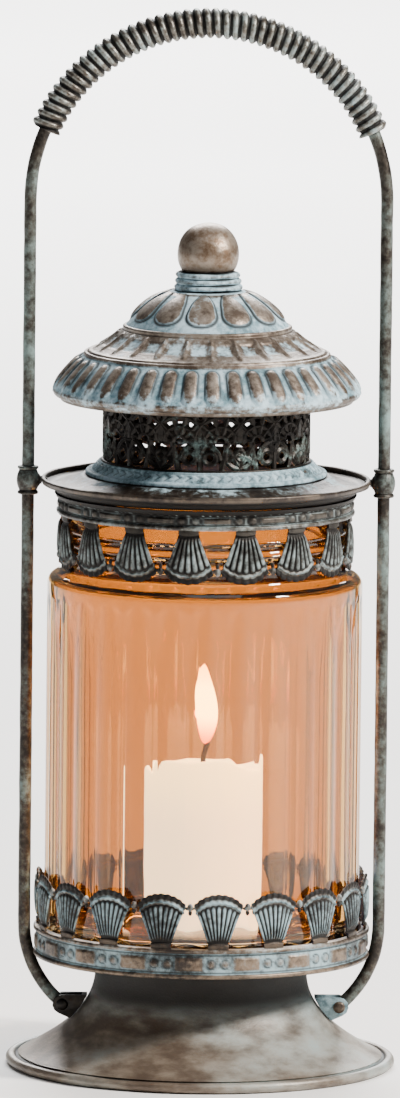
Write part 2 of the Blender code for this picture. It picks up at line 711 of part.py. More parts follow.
def make_finial(finishes):
    """The ball, its ridged collar and the stud, washer and nut that hold them on the crown."""
    top = COLLAR_BOTTOM + COLLAR_HEIGHT
    ridges = 3
    side = []
    for i in range(2 * ridges + 1):
        share = i / (2 * ridges)
        groove = COLLAR_RIDGE if i % 2 else 0
        side.append((COLLAR_RADIUS - COLLAR_TAPER * share - groove, COLLAR_BOTTOM + COLLAR_HEIGHT * share))
    outline = [(STUD_HOLE, COLLAR_BOTTOM), *side, (STUD_HOLE, top)]
    turned("finial_collar", outline, finishes["verdigris"], segments=20)

    flat = math.degrees(math.asin(-BALL_CUT / BALL_RADIUS))
    ball = arc((0, BALL_CENTRE), BALL_RADIUS, flat, 90, 8)
    ball[-1].x = 0
    socket = BALL_BOTTOM + STUD_DEPTH
    under = [(0, socket), (STUD_HOLE, socket), (STUD_HOLE, BALL_BOTTOM)]
    turned("finial_ball", [*under, *ball], finishes["bronze"], segments=20)

    inside = CROWN_TOP - SHEET
    washer_level = inside - GAP - WASHER_HEIGHT
    washer("finial_washer", STUD_HOLE, washer_level, finishes["dark"])
    hex_nut("finial_nut", STUD_HOLE + NUT_CLEARANCE, washer_level - GAP - NUT_HEIGHT, finishes["dark"])
    low, high = inside - STUD_BELOW, socket - GAP
    stud = [(0, low), (STUD_RADIUS, low), (STUD_RADIUS, high), (0, high)]
    turned("finial_stud", stud, finishes["dark"], segments=12)


def make_sleeves(finishes):
    """The two sleeves that slide on the rods, each pinned to the plate's lip."""
    low, high = PIN_LEVEL - SLEEVE_HEIGHT / 2, PIN_LEVEL + SLEEVE_HEIGHT / 2
    chamfer = 0.5
    barrel = [
        (SLEEVE_BORE, low), (SLEEVE_RADIUS - chamfer, low), (SLEEVE_RADIUS, low + chamfer),
        (SLEEVE_RADIUS, high - chamfer), (SLEEVE_RADIUS - chamfer, high), (SLEEVE_BORE, high),
    ]
    wall = (SLEEVE_RADIUS + SLEEVE_BORE) / 2
    neck_start = PLATE_RADIUS + GAP
    neck_end = BAIL_X - wall + 0.35
    neck = [(0, neck_start), (SLEEVE_NECK_RADIUS, neck_start), (SLEEVE_NECK_RADIUS, neck_end), (0, neck_end)]
    hole_end = BAIL_X - wall - 0.1
    hole_radius = PIN_RADIUS + GAP
    hole = [(0, neck_start - 1), (hole_radius, neck_start - 1), (hole_radius, hole_end), (0, hole_end)]
    head = PLATE_RADIUS - SHEET - GAP
    pin_end = hole_end - GAP
    pin = [
        (0, head - PIN_HEAD_HEIGHT), (0.75 * PIN_HEAD_RADIUS, head - 0.75 * PIN_HEAD_HEIGHT),
        (PIN_HEAD_RADIUS, head), (PIN_RADIUS, head), (PIN_RADIUS, pin_end), (0, pin_end),
    ]
    for side, word in ((-1, "left"), (1, "right")):
        body = spun(barrel, SMALL_SEGMENTS)
        bmesh.ops.translate(body, vec=(side * BAIL_X, 0, 0), verts=body.verts)
        sleeve = finish(f"guide_sleeve_{word}", body, finishes["dark"])
        boss = lay_along_x(spun(neck, 10), 0, PIN_LEVEL, side)
        join(sleeve, f"join_neck_{word}", boss)
        cut(sleeve, f"cut_pin_{word}", lay_along_x(spun(hole, 8), 0, PIN_LEVEL, side))
        rivet = lay_along_x(spun(pin, 8), 0, PIN_LEVEL, side)
        finish(f"sleeve_pin_{word}", rivet, finishes["bronze"])


def clear_scene():
    """Removes every object that the scene starts with."""
    for old in list(bpy.data.objects):
        bpy.data.objects.remove(old)


def main():
    """Builds the lantern."""
    clear_scene()
    finishes = make_materials()
    make_foot(finishes)
    make_pan(finishes)
    make_galleries(finishes)
    make_pan_fastening(finishes)
    make_bail(finishes)
    make_brackets(finishes)
    make_jar(finishes)
    make_candle(finishes)
    make_shoulder_plate(finishes)
    make_vent(finishes)
    make_roof(finishes)
    make_finial(finishes)
    make_sleeves(finishes)


main()
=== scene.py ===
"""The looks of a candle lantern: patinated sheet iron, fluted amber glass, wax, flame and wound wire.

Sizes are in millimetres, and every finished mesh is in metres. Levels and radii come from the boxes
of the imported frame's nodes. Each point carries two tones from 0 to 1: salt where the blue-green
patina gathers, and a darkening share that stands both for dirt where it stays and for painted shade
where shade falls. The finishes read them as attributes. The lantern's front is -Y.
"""

from __future__ import annotations

import json
import logging
import math
from collections.abc import Callable, Iterable, Sequence
from dataclasses import dataclass
from enum import Enum

import bmesh
import bpy
from bmesh.types import BMesh, BMVert
from bpy.types import Material, Node, NodeSocket, NodeTree, Object
from mathutils import Euler, Matrix, Vector, noise

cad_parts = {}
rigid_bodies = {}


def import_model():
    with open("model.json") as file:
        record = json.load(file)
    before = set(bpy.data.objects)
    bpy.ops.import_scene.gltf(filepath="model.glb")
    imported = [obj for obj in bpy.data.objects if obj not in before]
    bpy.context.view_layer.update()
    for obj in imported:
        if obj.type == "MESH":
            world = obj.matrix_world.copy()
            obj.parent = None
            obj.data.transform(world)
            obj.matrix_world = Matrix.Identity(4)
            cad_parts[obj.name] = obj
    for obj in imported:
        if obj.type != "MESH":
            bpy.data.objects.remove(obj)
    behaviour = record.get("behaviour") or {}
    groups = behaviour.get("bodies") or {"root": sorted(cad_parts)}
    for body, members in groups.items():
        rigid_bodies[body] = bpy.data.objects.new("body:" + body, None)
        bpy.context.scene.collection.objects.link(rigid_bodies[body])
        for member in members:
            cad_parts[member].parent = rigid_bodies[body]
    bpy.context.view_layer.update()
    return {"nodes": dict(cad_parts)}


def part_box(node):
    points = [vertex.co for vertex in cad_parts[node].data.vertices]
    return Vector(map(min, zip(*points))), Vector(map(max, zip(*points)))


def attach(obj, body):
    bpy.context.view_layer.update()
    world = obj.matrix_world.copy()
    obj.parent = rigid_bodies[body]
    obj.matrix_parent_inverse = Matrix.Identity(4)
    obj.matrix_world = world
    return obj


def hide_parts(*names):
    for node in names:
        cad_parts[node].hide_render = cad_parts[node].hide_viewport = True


for leftover in list(bpy.data.objects):
    bpy.data.objects.remove(leftover)
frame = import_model()

MM = 0.001
SALT = "salt"
SOOT_AND_SHADE = "soot_and_shade"
GAP = 0.3  # left between parts that don't touch
WELD = 0.002  # points nearer than this are merged
FRONT = -90.0  # degrees
LOG = logging.getLogger("lantern")


class Body(Enum):
    """The lantern's moving bodies."""

    STAND = "stand"
    COVER = "cover"
    JAR = "jar"
    CANDLE = "candle"


class Slot(Enum):
    """The record's material slots."""

    VERDIGRIS = "verdigris_iron"
    DARK = "dark_iron"
    BRONZE = "rubbed_bronze"
    WIRE = "grip_wire"
    GLASS = "amber_glass"
    WAX = "candle_wax"
    WICK = "wick_cotton"


# ---------------------------------------------------------------- measuring and outlines


@dataclass(frozen=True)
class Span:
    """A CAD node's box, in millimetres."""

    low: Vector
    high: Vector

    @classmethod
    def of(cls, node: str) -> Span:
        """The box of a node.

        Args:
            node: The CAD node's name.

        Returns:
            Its box at rest.
        """
        low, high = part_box(node)
        return cls(low / MM, high / MM)

    @property
    def bottom(self) -> float:
        """Lowest level."""
        return self.low.z

    @property
    def top(self) -> float:
        """Highest level."""
        return self.high.z

    @property
    def radius(self) -> float:
        """Half of the width along X."""
        return (self.high.x - self.low.x) / 2

    @property
    def centre(self) -> Vector:
        """Middle of the box."""
        return (self.low + self.high) / 2


# A tone is a salt share and a darkening share; the darkening share stands for dirt and also for painted
# shade.
Tone = tuple[float, float]
PLAIN: Tone = (0.3, 0.1)  # salt and soot
CRUSTED: Tone = (0.9, 0.1)
CREASE: Tone = (0.4, 0.9)
INSIDE: Tone = (0.1, 1.0)


def smooth(share: float) -> float:
    """A share held between 0 and 1 and eased at both ends."""
    held = min(1.0, max(0.0, share))
    return held * held * (3 - 2 * held)


def point(radius: float, level: float, tone: Tone = PLAIN) -> Vector:
    """An outline's point: radius, level, salt and soot."""
    return Vector((radius, level, *tone))


def arc(
    centre: tuple[float, float], radius: float, first: float, last: float, steps: int, tone: Tone = PLAIN
) -> list[Vector]:
    """Outline points on an arc.

    Args:
        centre: Radius and level of the arc's centre.
        radius: The arc's own radius.
        first: Angle of its first point, in degrees, from outwards towards up.
        last: Angle of its last point.
        steps: Number of straight pieces.
        tone: Tone of its points.

    Returns:
        steps + 1 points.
    """
    angles = [math.radians(first + (last - first) * i / steps) for i in range(steps + 1)]
    return [point(centre[0] + radius * math.cos(a), centre[1] + radius * math.sin(a), tone) for a in angles]


def bowed(
    start: tuple[float, float],
    end: tuple[float, float],
    bow: float,
    steps: int,
    tone: Tone = PLAIN,
    last_tone: Tone | None = None,
) -> list[Vector]:
    """Outline points from start to end, bowed by a parabola.

    Args:
        start: Radius and level of the first point.
        end: Radius and level of the last point.
        bow: Rise of the middle to the left of the way.
        steps: Number of straight pieces.
        tone: Tone at the start.
        last_tone: Tone at the end, if it changes along the way.

    Returns:
        steps + 1 points.
    """
    first, last = Vector(start), Vector(end)
    along = last - first
    left = Vector((-along.y, along.x)).normalized()
    tones = Vector(tone), Vector(last_tone or tone)
    made = []
    for i in range(steps + 1):
        share = i / steps
        at = first + along * share + left * bow * 4 * share * (1 - share)
        made.append(point(at.x, at.y, tuple(tones[0].lerp(tones[1], share))))
    return made


# ---------------------------------------------------------------- mesh tools


def fresh() -> BMesh:
    """An empty mesh with the tones' layers.

    Returns:
        The mesh.
    """
    bm = bmesh.new()
    bm.verts.layers.float.new(SALT)
    bm.verts.layers.float.new(SOOT_AND_SHADE)
    return bm


def paint(bm: BMesh, verts: Iterable[BMVert], tone: Tone) -> None:
    """Gives points one tone.

    Args:
        bm: The mesh.
        verts: The points.
        tone: Their tone.
    """
    salt, soot_and_shade = bm.verts.layers.float[SALT], bm.verts.layers.float[SOOT_AND_SHADE]
    for vert in verts:
        vert[salt], vert[soot_and_shade] = tone


def tidy(bm: BMesh) -> BMesh:
    """Merges doubles and turns every face outwards.

    Args:
        bm: The mesh.

    Returns:
        The same mesh.
    """
    bmesh.ops.remove_doubles(bm, verts=bm.verts, dist=WELD)
    bmesh.ops.recalc_face_normals(bm, faces=bm.faces)
    return bm


def spun(outline: Sequence[Vector], segments: int) -> BMesh:
    """A solid turned about Z.

    Args:
        outline: Points of one closed outline. It may start and end on the axis.
        segments: Number of facets round the axis.

    Returns:
        The closed mesh.
    """
    bm = fresh()
    verts = [bm.verts.new((p.x, 0, p.y)) for p in outline]
    for vert, p in zip(verts, outline):
        paint(bm, [vert], (p.z, p.w))
    ends = list(zip(verts, verts[1:]))
    if outline[0].x > WELD or outline[-1].x > WELD:
        ends.append((verts[-1], verts[0]))
    edges = [bm.edges.new(pair) for pair in ends]
    bmesh.ops.spin(
        bm, geom=verts + edges, axis=(0, 0, 1), cent=(0, 0, 0),
        angle=math.tau, steps=segments, use_merge=True,
    )
    return tidy(bm)


@dataclass(frozen=True)
class Spot:
    """A place on a surface, as a pattern sees it."""

    angle: float
    radius: float
    level: float
    outward: float
    upward: float

    def across(self, pitch: float, phase: float) -> float:
        """Place within a repeat, from -0.5 to 0.5.

        Args:
            pitch: Degrees of one repeat.
            phase: Degrees to the right of the front where a repeat has its middle.

        Returns:
            The share of the pitch from the nearest middle.
        """
        return ((self.angle - FRONT - phase) / pitch + 0.5) % 1 - 0.5


Pattern = Callable[[Spot], "tuple[float, Tone] | None"]


def emboss(bm: BMesh, pattern: Pattern) -> BMesh:
    """Raises a pattern along the surface's normals.

    Args:
        bm: The mesh.
        pattern: Gives the height and tone at a spot, or None where it leaves the surface alone.

    Returns:
        The same mesh.
    """
    bm.normal_update()
    normals = [vert.normal.copy() for vert in bm.verts]
    for vert, normal in zip(bm.verts, normals):
        radius = math.hypot(vert.co.x, vert.co.y)
        outward = (normal.x * vert.co.x + normal.y * vert.co.y) / max(radius, WELD)
        angle = math.degrees(math.atan2(vert.co.y, vert.co.x))
        raised = pattern(Spot(angle, radius, vert.co.z, outward, normal.z))
        if raised is not None:
            vert.co += normal * raised[0]
            paint(bm, [vert], raised[1])
    return bm


def roughen(bm: BMesh, height: float, size: float) -> BMesh:
    """Moves points a little along their normals, as hand work and casting leave a surface.

    Args:
        bm: The mesh.
        height: Largest move.
        size: Width of the lumps.

    Returns:
        The same mesh.
    """
    bm.normal_update()
    moves = [vert.normal * height * noise.noise(vert.co / size) for vert in bm.verts]
    for vert, move in zip(bm.verts, moves):
        vert.co += move
    return bm


def add_ball(bm: BMesh, place: Vector, size: Vector, tone: Tone, rings: int = 6) -> None:
    """Adds a ball or an oval bead.

    Args:
        bm: The mesh that it joins.
        place: Its centre.
        size: Its half widths along X, Y and Z.
        tone: Its tone.
        rings: Number of its rings of faces.
    """
    matrix = Matrix.Translation(place) @ Matrix.Diagonal((*size, 1))
    made = bmesh.ops.create_uvsphere(bm, u_segments=2 * rings - 2, v_segments=rings, radius=1, matrix=matrix)
    paint(bm, made["verts"], tone)


def join(bm: BMesh, other: BMesh) -> BMesh:
    """Moves another mesh's faces into this one.

    Args:
        bm: The mesh that grows.
        other: The mesh that it takes in. It is freed.

    Returns:
        The grown mesh.
    """
    carrier = bpy.data.meshes.new("carrier")
    other.to_mesh(carrier)
    other.free()
    bm.from_mesh(carrier)
    bpy.data.meshes.remove(carrier)
    return bm


def lay_along_x(bm: BMesh, place: Vector, facing: int) -> BMesh:
    """Turns a solid made about Z so that it points along X.

    Args:
        bm: The mesh.
        place: Where its origin goes.
        facing: 1 for +X, -1 for -X.

    Returns:
        The same mesh.
    """
    turn = Matrix.Translation(place) @ Matrix.Rotation(math.radians(90 * facing), 4, "Y")
    bmesh.ops.transform(bm, matrix=turn, verts=bm.verts)
    return bm


def tube(
    points: Iterable[Vector], radius: float, sides: int, closed: bool = False, tone: Tone = PLAIN
) -> BMesh:
    """A round tube or a ring along points.

    Args:
        points: Its centre line.
        radius: Its radius.
        sides: Number of its sides, an even number from 6.
        closed: True if the line's end meets its start.
        tone: Its tone.

    Returns:
        The closed mesh.
    """
    curve = bpy.data.curves.new("line", "CURVE")
    curve.dimensions = "3D"
    curve.bevel_depth = radius
    curve.bevel_resolution = sides // 2 - 2
    curve.use_fill_caps = True
    spline = curve.splines.new("POLY")
    places = list(points)
    spline.points.add(len(places) - 1)
    for knot, place in zip(spline.points, places):
        knot.co = (*place, 1)
    spline.use_cyclic_u = closed
    holder = bpy.data.objects.new("line", curve)
    bpy.context.scene.collection.objects.link(holder)
    mesh = bpy.data.meshes.new_from_object(holder.evaluated_get(bpy.context.evaluated_depsgraph_get()))
    bm = fresh()
    bm.from_mesh(mesh)
    bpy.data.objects.remove(holder)
    bpy.data.curves.remove(curve)
    bpy.data.meshes.remove(mesh)
    paint(bm, bm.verts, tone)
    return tidy(bm)


def bevelled_copy(
    node: str, width: float, tone: Tone, flat_angle: float = 2.0, sharp_angle: float = 40.1
) -> BMesh:
    """A CAD node's solid with its sharp edges rounded.

    Args:
        node: The CAD node's name.
        width: Width of the rounding.
        tone: Its tone.
        flat_angle: Faces bent by fewer degrees than this become one.
        sharp_angle: Edges bent by more degrees than this are rounded.

    Returns:
        The closed mesh, in millimetres.
    """
    bm = fresh()
    bm.from_mesh(frame["nodes"][node].data)
    bmesh.ops.scale(bm, vec=(1 / MM,) * 3, verts=bm.verts)
    bmesh.ops.remove_doubles(bm, verts=bm.verts, dist=10 * WELD)
    flat, least = math.radians(flat_angle), math.radians(sharp_angle)
    bmesh.ops.dissolve_limit(bm, angle_limit=flat, verts=bm.verts, edges=bm.edges)
    sharp = [edge for edge in bm.edges if len(edge.link_faces) == 2 and edge.calc_face_angle(0) > least]
    bmesh.ops.bevel(
        bm, geom=sharp, offset=width, affect="EDGES", segments=2, profile=0.5, material=-1,
        clamp_overlap=True,
    )
    paint(bm, bm.verts, tone)
    return tidy(bm)


def wrap_round(tile: BMesh, copies: int, radius: float, phase: float) -> BMesh:
    """Bends copies of a flat tile round the axis.

    Args:
        tile: The tile: X to the right, Z up, and -Y towards the viewer. It is freed.
        copies: Number of copies round the axis.
        radius: Radius of the tile's Y = 0 surface.
        phase: Degrees to the right of the front where one tile has its middle.

    Returns:
        The ring of tiles.
    """
    flat = bpy.data.meshes.new("tile")
    tile.to_mesh(flat)
    tile.free()
    bm = fresh()
    for copy in range(copies):
        bm.verts.ensure_lookup_table()
        start = len(bm.verts)
        bm.from_mesh(flat)
        bm.verts.ensure_lookup_table()
        middle = math.radians(FRONT + phase) + math.tau * copy / copies
        for vert in bm.verts[start:]:
            angle = middle + vert.co.x / radius
            reach = radius - vert.co.y
            vert.co = Vector((reach * math.cos(angle), reach * math.sin(angle), vert.co.z))
    bpy.data.meshes.remove(flat)
    return tidy(bm)


@dataclass(frozen=True)
class Fit:
    """What a finished piece is called, what it stands for and what it moves with."""

    name: str
    body: Body
    slot: Slot
    nodes: tuple[str, ...] = ()


def finish_piece(bm: BMesh, fit: Fit, material: Material, sharp_angle: float = 40) -> Object:
    """Turns a mesh in millimetres into one of the lantern's pieces.

    Args:
        bm: The mesh. It is freed.
        fit: Its name and body, and the CAD nodes that it stands in for, which it hides. Its slot is not
            used.
        material: Its finish.
        sharp_angle: Edges bent by more degrees than this stay sharp.

    Returns:
        The piece, riding on its body.
    """
    bmesh.ops.scale(bm, vec=(MM, MM, MM), verts=bm.verts)
    mesh = bpy.data.meshes.new(fit.name)
    bm.to_mesh(mesh)
    bm.free()
    mesh.shade_smooth()
    mesh.set_sharp_from_angle(angle=math.radians(sharp_angle))
    mesh.materials.append(material)
    piece = bpy.data.objects.new(fit.name, mesh)
    bpy.context.scene.collection.objects.link(piece)
    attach(piece, fit.body.value)
    if fit.nodes:
        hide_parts(*fit.nodes)
    LOG.info("%s: %d faces on %s", fit.name, len(mesh.polygons), fit.body.value)
    return piece


# ---------------------------------------------------------------- finishes


def linear(colour: str) -> tuple[float, float, float, float]:
    """A shader colour from an sRGB hex value such as #8A6B4F."""
    shares = [int(colour[i : i + 2], 16) / 255 for i in (1, 3, 5)]
    return (*(c / 12.92 if c <= 0.04045 else ((c + 0.055) / 1.055) ** 2.4 for c in shares), 1.0)


def add_node(
    tree: NodeTree, kind: str, inputs: dict[str | int, object] | None = None, **settings: object
) -> Node:
    """Adds a shader node with its settings and links.

    Args:
        tree: The material's node tree.
        kind: The node's type name after ShaderNode.
        inputs: Value or linked socket of each input, by name or number.
        settings: The node's own properties.

    Returns:
        The node.
    """
    made = tree.nodes.new(f"ShaderNode{kind}")
    for name, value in settings.items():
        setattr(made, name, value)
    for key, value in (inputs or {}).items():
        if isinstance(value, NodeSocket):
            tree.links.new(value, made.inputs[key])
        else:
            made.inputs[key].default_value = value
    return made


@dataclass(frozen=True)
class Grain:
    """A noise whose lumps have a real size."""

    size: float  # of its lumps
    detail: float = 3.0
    roughness: float = 0.55
    stretch: tuple[float, float, float] = (1.0, 1.0, 1.0)

    def add(self, tree: NodeTree) -> NodeSocket:
        """Adds the noise, on Object coordinates.

        Args:
            tree: The material's node tree.

        Returns:
            The noise's value.
        """
        place = add_node(tree, "TexCoord").outputs["Object"]
        mapped = add_node(tree, "Mapping", {"Vector": place, "Scale": self.stretch})
        made = add_node(
            tree, "TexNoise",
            {
                "Vector": mapped.outputs[0],
                "Scale": 1 / (self.size * MM),
                "Detail": self.detail,
                "Roughness": self.roughness,
            },
        )
        return made.outputs["Factor" if "Factor" in made.outputs else "Fac"]


def start_material(name: str) -> tuple[Material, NodeTree, Node]:
    """An empty Principled material.

    Args:
        name: Its name.

    Returns:
        The material, its tree and its shader.
    """
    made = bpy.data.materials.new(name)
    made.use_nodes = True
    return made, made.node_tree, made.node_tree.nodes["Principled BSDF"]


def remap(
    tree: NodeTree, value: NodeSocket, before: tuple[float, float], after: tuple[float, float]
) -> NodeSocket:
    """A value eased from one range to another and held there.

    Args:
        tree: The material's node tree.
        value: The value.
        before: The range that it comes in.
        after: The range that it leaves in.

    Returns:
        The new value.
    """
    made = add_node(
        tree, "MapRange",
        {
            "Value": value, "From Min": before[0], "From Max": before[1],
            "To Min": after[0], "To Max": after[1],
        },
        interpolation_type="SMOOTHSTEP",
    )
    return made.outputs[0]


def weighted(tree: NodeTree, parts: Sequence[tuple[NodeSocket, float]], offset: float = 0.0) -> NodeSocket:
    """A weighted sum.

    Args:
        tree: The material's node tree.
        parts: Each value with its weight.
        offset: What the sum starts from.

    Returns:
        The sum.
    """
    total: object = offset
    for value, weight in parts:
        made = add_node(tree, "Math", {0: value, 1: weight, 2: total}, operation="MULTIPLY_ADD")
        total = made.outputs[0]
    return total


def blended(tree: NodeTree, share: NodeSocket, first: object, second: object) -> NodeSocket:
    """A colour between two, each a linked colour or a value.

    Args:
        tree: The material's node tree.
        share: 0 for the first, 1 for the second.
        first: The first colour.
        second: The second colour.

    Returns:
        The colour.
    """
    made = add_node(tree, "Mix", {0: share, 6: first, 7: second}, data_type="RGBA")
    return made.outputs[2]


def add_bump(tree: NodeTree, shader: Node, height: NodeSocket, strength: float, rise: float) -> None:
    """Bends the shader's normals by a height.

    Args:
        tree: The material's node tree.
        shader: Its shader.
        height: The height, from 0 to 1.
        strength: Share of the bending that is kept.
        rise: What a height of 1 stands for, in millimetres.
    """
    bump = add_node(tree, "Bump", {"Height": height, "Strength": strength, "Distance": rise * MM})
    tree.links.new(bump.outputs[0], shader.inputs["Normal"])


def height_share(tree: NodeTree, low: float, high: float) -> NodeSocket:
    """An eased share of the way from one level to another, in Object coordinates.

    Args:
        tree: The material's node tree.
        low: Level where the share is 0.
        high: Level where it is 1.

    Returns:
        The share.
    """
    place = add_node(tree, "TexCoord").outputs["Object"]
    level = add_node(tree, "SeparateXYZ", {0: place}).outputs["Z"]
    return remap(tree, level, (low * MM, high * MM), (0, 1))


@dataclass(frozen=True)
class Patina:
    """Bronze-plated sheet iron, etched blue-green with copper salts and rubbed back by hand.

    The salts stay as a chalky crust where the shape holds them, the high spots show brown metal with
    a soft sheen, and the darkening share turns creases and shaded places near black, for dirt and as painted
    shade.
    """

    name: str
    coverage: float  # crust on a surface that holds no salt
    salting: float = 0.75  # crust added where the shape holds salt
    soften: float = 0.17  # half width of the crust's edge
    metal: str = "#86796C"
    metal_dark: str = "#40362E"
    crust: str = "#BCD3DE"
    crust_deep: str = "#6A8C96"
    soot_and_shade: str = "#0F0C0A"
    shine: float = 0.42  # roughness of the bare metal
    chalk: float = 0.72  # roughness of the crust
    metallic: float = 0.6
    drift: float = 0.9  # strength of the blotches
    speckle: float = 0.8  # strength of the flecks
    pitting: float = 0.2  # strength of the pits
    bump: float = 0.5  # strength of the crust's and the pits' relief
    bump_height: float = 0.5
    blotch: Grain = Grain(17.0, 4.0, 0.6)
    fleck: Grain = Grain(2.6, 4.0, 0.62)
    pit: Grain = Grain(0.7, 2.0, 0.5)

    def make(self) -> Material:
        """The material.

        Returns:
            The finish.
        """
        made, tree, shader = start_material(self.name)
        salt = add_node(tree, "Attribute", attribute_name=SALT).outputs["Fac"]
        soot_and_shade = add_node(tree, "Attribute", attribute_name=SOOT_AND_SHADE).outputs["Fac"]
        blotch, fleck, pit = self.blotch.add(tree), self.fleck.add(tree), self.pit.add(tree)
        amount = weighted(
            tree,
            [(salt, self.salting), (blotch, self.drift), (fleck, self.speckle), (pit, self.pitting)],
            self.coverage - 0.5 * (self.drift + self.speckle + self.pitting),
        )
        crusted = remap(tree, amount, (0.5 - self.soften, 0.5 + self.soften), (0, 1))
        light = remap(tree, weighted(tree, [(blotch, 0.55), (fleck, 0.45)]), (0.38, 0.62), (0, 1))
        metal = blended(tree, light, linear(self.metal_dark), linear(self.metal))
        crust = blended(tree, light, linear(self.crust_deep), linear(self.crust))
        colour = blended(tree, crusted, metal, crust)
        # The darkening mask, for dirt and for painted shade, mixes in the near-black colour.
        grime_and_shade = remap(tree, weighted(tree, [(soot_and_shade, 1.0), (fleck, 0.35)], -0.175), (0.12, 0.85), (0, 0.96))
        tree.links.new(blended(tree, grime_and_shade, colour, linear(self.soot_and_shade)), shader.inputs["Base Color"])
        tree.links.new(remap(tree, crusted, (0, 1), (self.metallic, 0.0)), shader.inputs["Metallic"])
        rough = weighted(
            tree,
            [(remap(tree, crusted, (0, 1), (self.shine, self.chalk)), 1.0), (pit, 0.16), (grime_and_shade, 0.2)],
            -0.08,
        )
        tree.links.new(rough, shader.inputs["Roughness"])
        height = weighted(tree, [(crusted, 0.3), (fleck, 0.5), (pit, 0.3)])
        add_bump(tree, shader, height, self.bump, self.bump_height)
        return made


@dataclass(frozen=True)
class FlutedGlass:
    """Pressed soda-lime glass with a light amber tint, smooth and slightly wavy from its mould."""

    name: str = "pressed_amber_glass"
    tint: str = "#CC9750"
    ior: float = 1.45
    roughness: float = 0.03
    wave: Grain = Grain(22.0, 1.0, 0.4, (1.0, 1.0, 0.35))
    wave_strength: float = 0.35
    wave_height: float = 1.2

    def make(self) -> Material:
        """The material.

        Returns:
            The finish.
        """
        made, tree, shader = start_material(self.name)
        shader.inputs["Base Color"].default_value = linear(self.tint)
        shader.inputs["Transmission Weight"].default_value = 1.0
        shader.inputs["IOR"].default_value = self.ior
        shader.inputs["Roughness"].default_value = self.roughness
        add_bump(tree, shader, self.wave.add(tree), self.wave_strength, self.wave_height)
        return made


@dataclass(frozen=True)
class Wax:
    """Moulded paraffin wax: white, faintly lilac, with light scattered under its skin near the flame. Its
    warmer colour near the flame and its glow of its own are painted light from the flame.
    """

    name: str = "paraffin_wax"
    cool: str = "#EFE6F0"
    # warm: the wax's colour near the flame, painted light from the flame
    warm: str = "#FFF3E2"
    # the glow is painted light: the wax emits light of its own
    glow: tuple[str, str] = ("#A2B8FF", "#BCD0FF")  # cool, so that the amber glass leaves it white
    glow_strength: float = 13.0
    ior: float = 1.44
    scatter: float = 0.35  # share of the light that scatters under the skin
    scatter_depth: float = 3.0
    scatter_ratio: tuple[float, float, float] = (1.0, 0.6, 0.4)
    sheen: tuple[float, float] = (0.36, 0.55)  # least and most roughness
    mottle: Grain = Grain(9.0, 2.0, 0.5)
    skin: Grain = Grain(1.4, 2.0, 0.5)

    def make(self, glow_from: float, glow_to: float) -> Material:
        """The material.

        Args:
            glow_from: Level where the candle starts to glow.
            glow_to: Level where it glows the most.

        Returns:
            The material.
        """
        made, tree, shader = start_material(self.name)
        near_flame = height_share(tree, glow_from, glow_to)
        colour = blended(tree, near_flame, linear(self.cool), linear(self.warm))
        tree.links.new(colour, shader.inputs["Base Color"])
        shader.inputs["Subsurface Weight"].default_value = self.scatter
        shader.inputs["Subsurface Radius"].default_value = self.scatter_ratio
        shader.inputs["Subsurface Scale"].default_value = self.scatter_depth * MM
        shader.inputs["IOR"].default_value = self.ior
        mottle = self.mottle.add(tree)
        tree.links.new(remap(tree, mottle, (0.3, 0.7), self.sheen), shader.inputs["Roughness"])
        # The wax's own emission: a painted glow.
        glow = blended(tree, near_flame, linear(self.glow[0]), linear(self.glow[1]))
        tree.links.new(glow, shader.inputs["Emission Color"])
        shader.inputs["Emission Strength"].default_value = self.glow_strength
        height = weighted(tree, [(mottle, 0.8), (self.skin.add(tree), 0.25)])
        add_bump(tree, shader, height, 0.3, 0.5)
        return made


@dataclass(frozen=True)
class FlameLight:
    """A candle flame: hot white-yellow gas with an orange skirt and tip."""

    name: str = "candle_flame"
    strength: float = 26.0
    stops: tuple[tuple[float, str], ...] = (
        (0.0, "#C05A20"), (0.1, "#FFA050"), (0.28, "#FFEBC8"), (0.8, "#FFEFD0"), (1.0, "#FFC070"),
    )

    def make(self, bottom: float, top: float) -> Material:
        """The material.

        Args:
            bottom: Level of the flame's foot.
            top: Level of its tip.

        Returns:
            The material.
        """
        made, tree, shader = start_material(self.name)
        ramp = add_node(tree, "ValToRGB", {0: height_share(tree, bottom, top)})
        elements = ramp.color_ramp.elements
        while len(elements) < len(self.stops):
            elements.new(0.5)
        for element, (position, colour) in zip(elements, self.stops):
            element.position = position
            element.color = linear(colour)
        shader.inputs["Base Color"].default_value = (0, 0, 0, 1)
        shader.inputs["Specular IOR Level"].default_value = 0.0
        shader.inputs["Emission Strength"].default_value = self.strength
        tree.links.new(ramp.outputs[0], shader.inputs["Emission Color"])
        return made


@dataclass(frozen=True)
class CharredCotton:
    """A braided cotton wick, burnt black and ashy along its braid."""

    name: str = "charred_cotton"
    char: str = "#16110E"
    ash: str = "#4A3B32"
    roughness: float = 0.95
    braid: Grain = Grain(0.5, 2.0, 0.6, (1.0, 1.0, 0.5))

    def make(self) -> Material:
        """The material.

        Returns:
            The finish.
        """
        made, tree, shader = start_material(self.name)
        braid = self.braid.add(tree)
        ashen = remap(tree, braid, (0.4, 0.65), (0, 1))
        colour = blended(tree, ashen, linear(self.char), linear(self.ash))
        tree.links.new(colour, shader.inputs["Base Color"])
        shader.inputs["Roughness"].default_value = self.roughness
        add_bump(tree, shader, braid, 0.8, 0.3)
        return made


@dataclass(frozen=True)
class PaleFloor:
    """Matt painted studio floor, faintly uneven in tone."""

    name: str = "pale_floor"
    shade: str = "#F4F2F0"
    pale: str = "#FAF9F7"
    roughness: float = 0.9
    mottle: Grain = Grain(900.0, 2.0, 0.5)

    def make(self) -> Material:
        """The material.

        Returns:
            The finish.
        """
        made, tree, shader = start_material(self.name)
        share = remap(tree, self.mottle.add(tree), (0.3, 0.7), (0, 1))
        colour = blended(tree, share, linear(self.shade), linear(self.pale))
        tree.links.new(colour, shader.inputs["Base Color"])
        shader.inputs["Roughness"].default_value = self.roughness
        return made


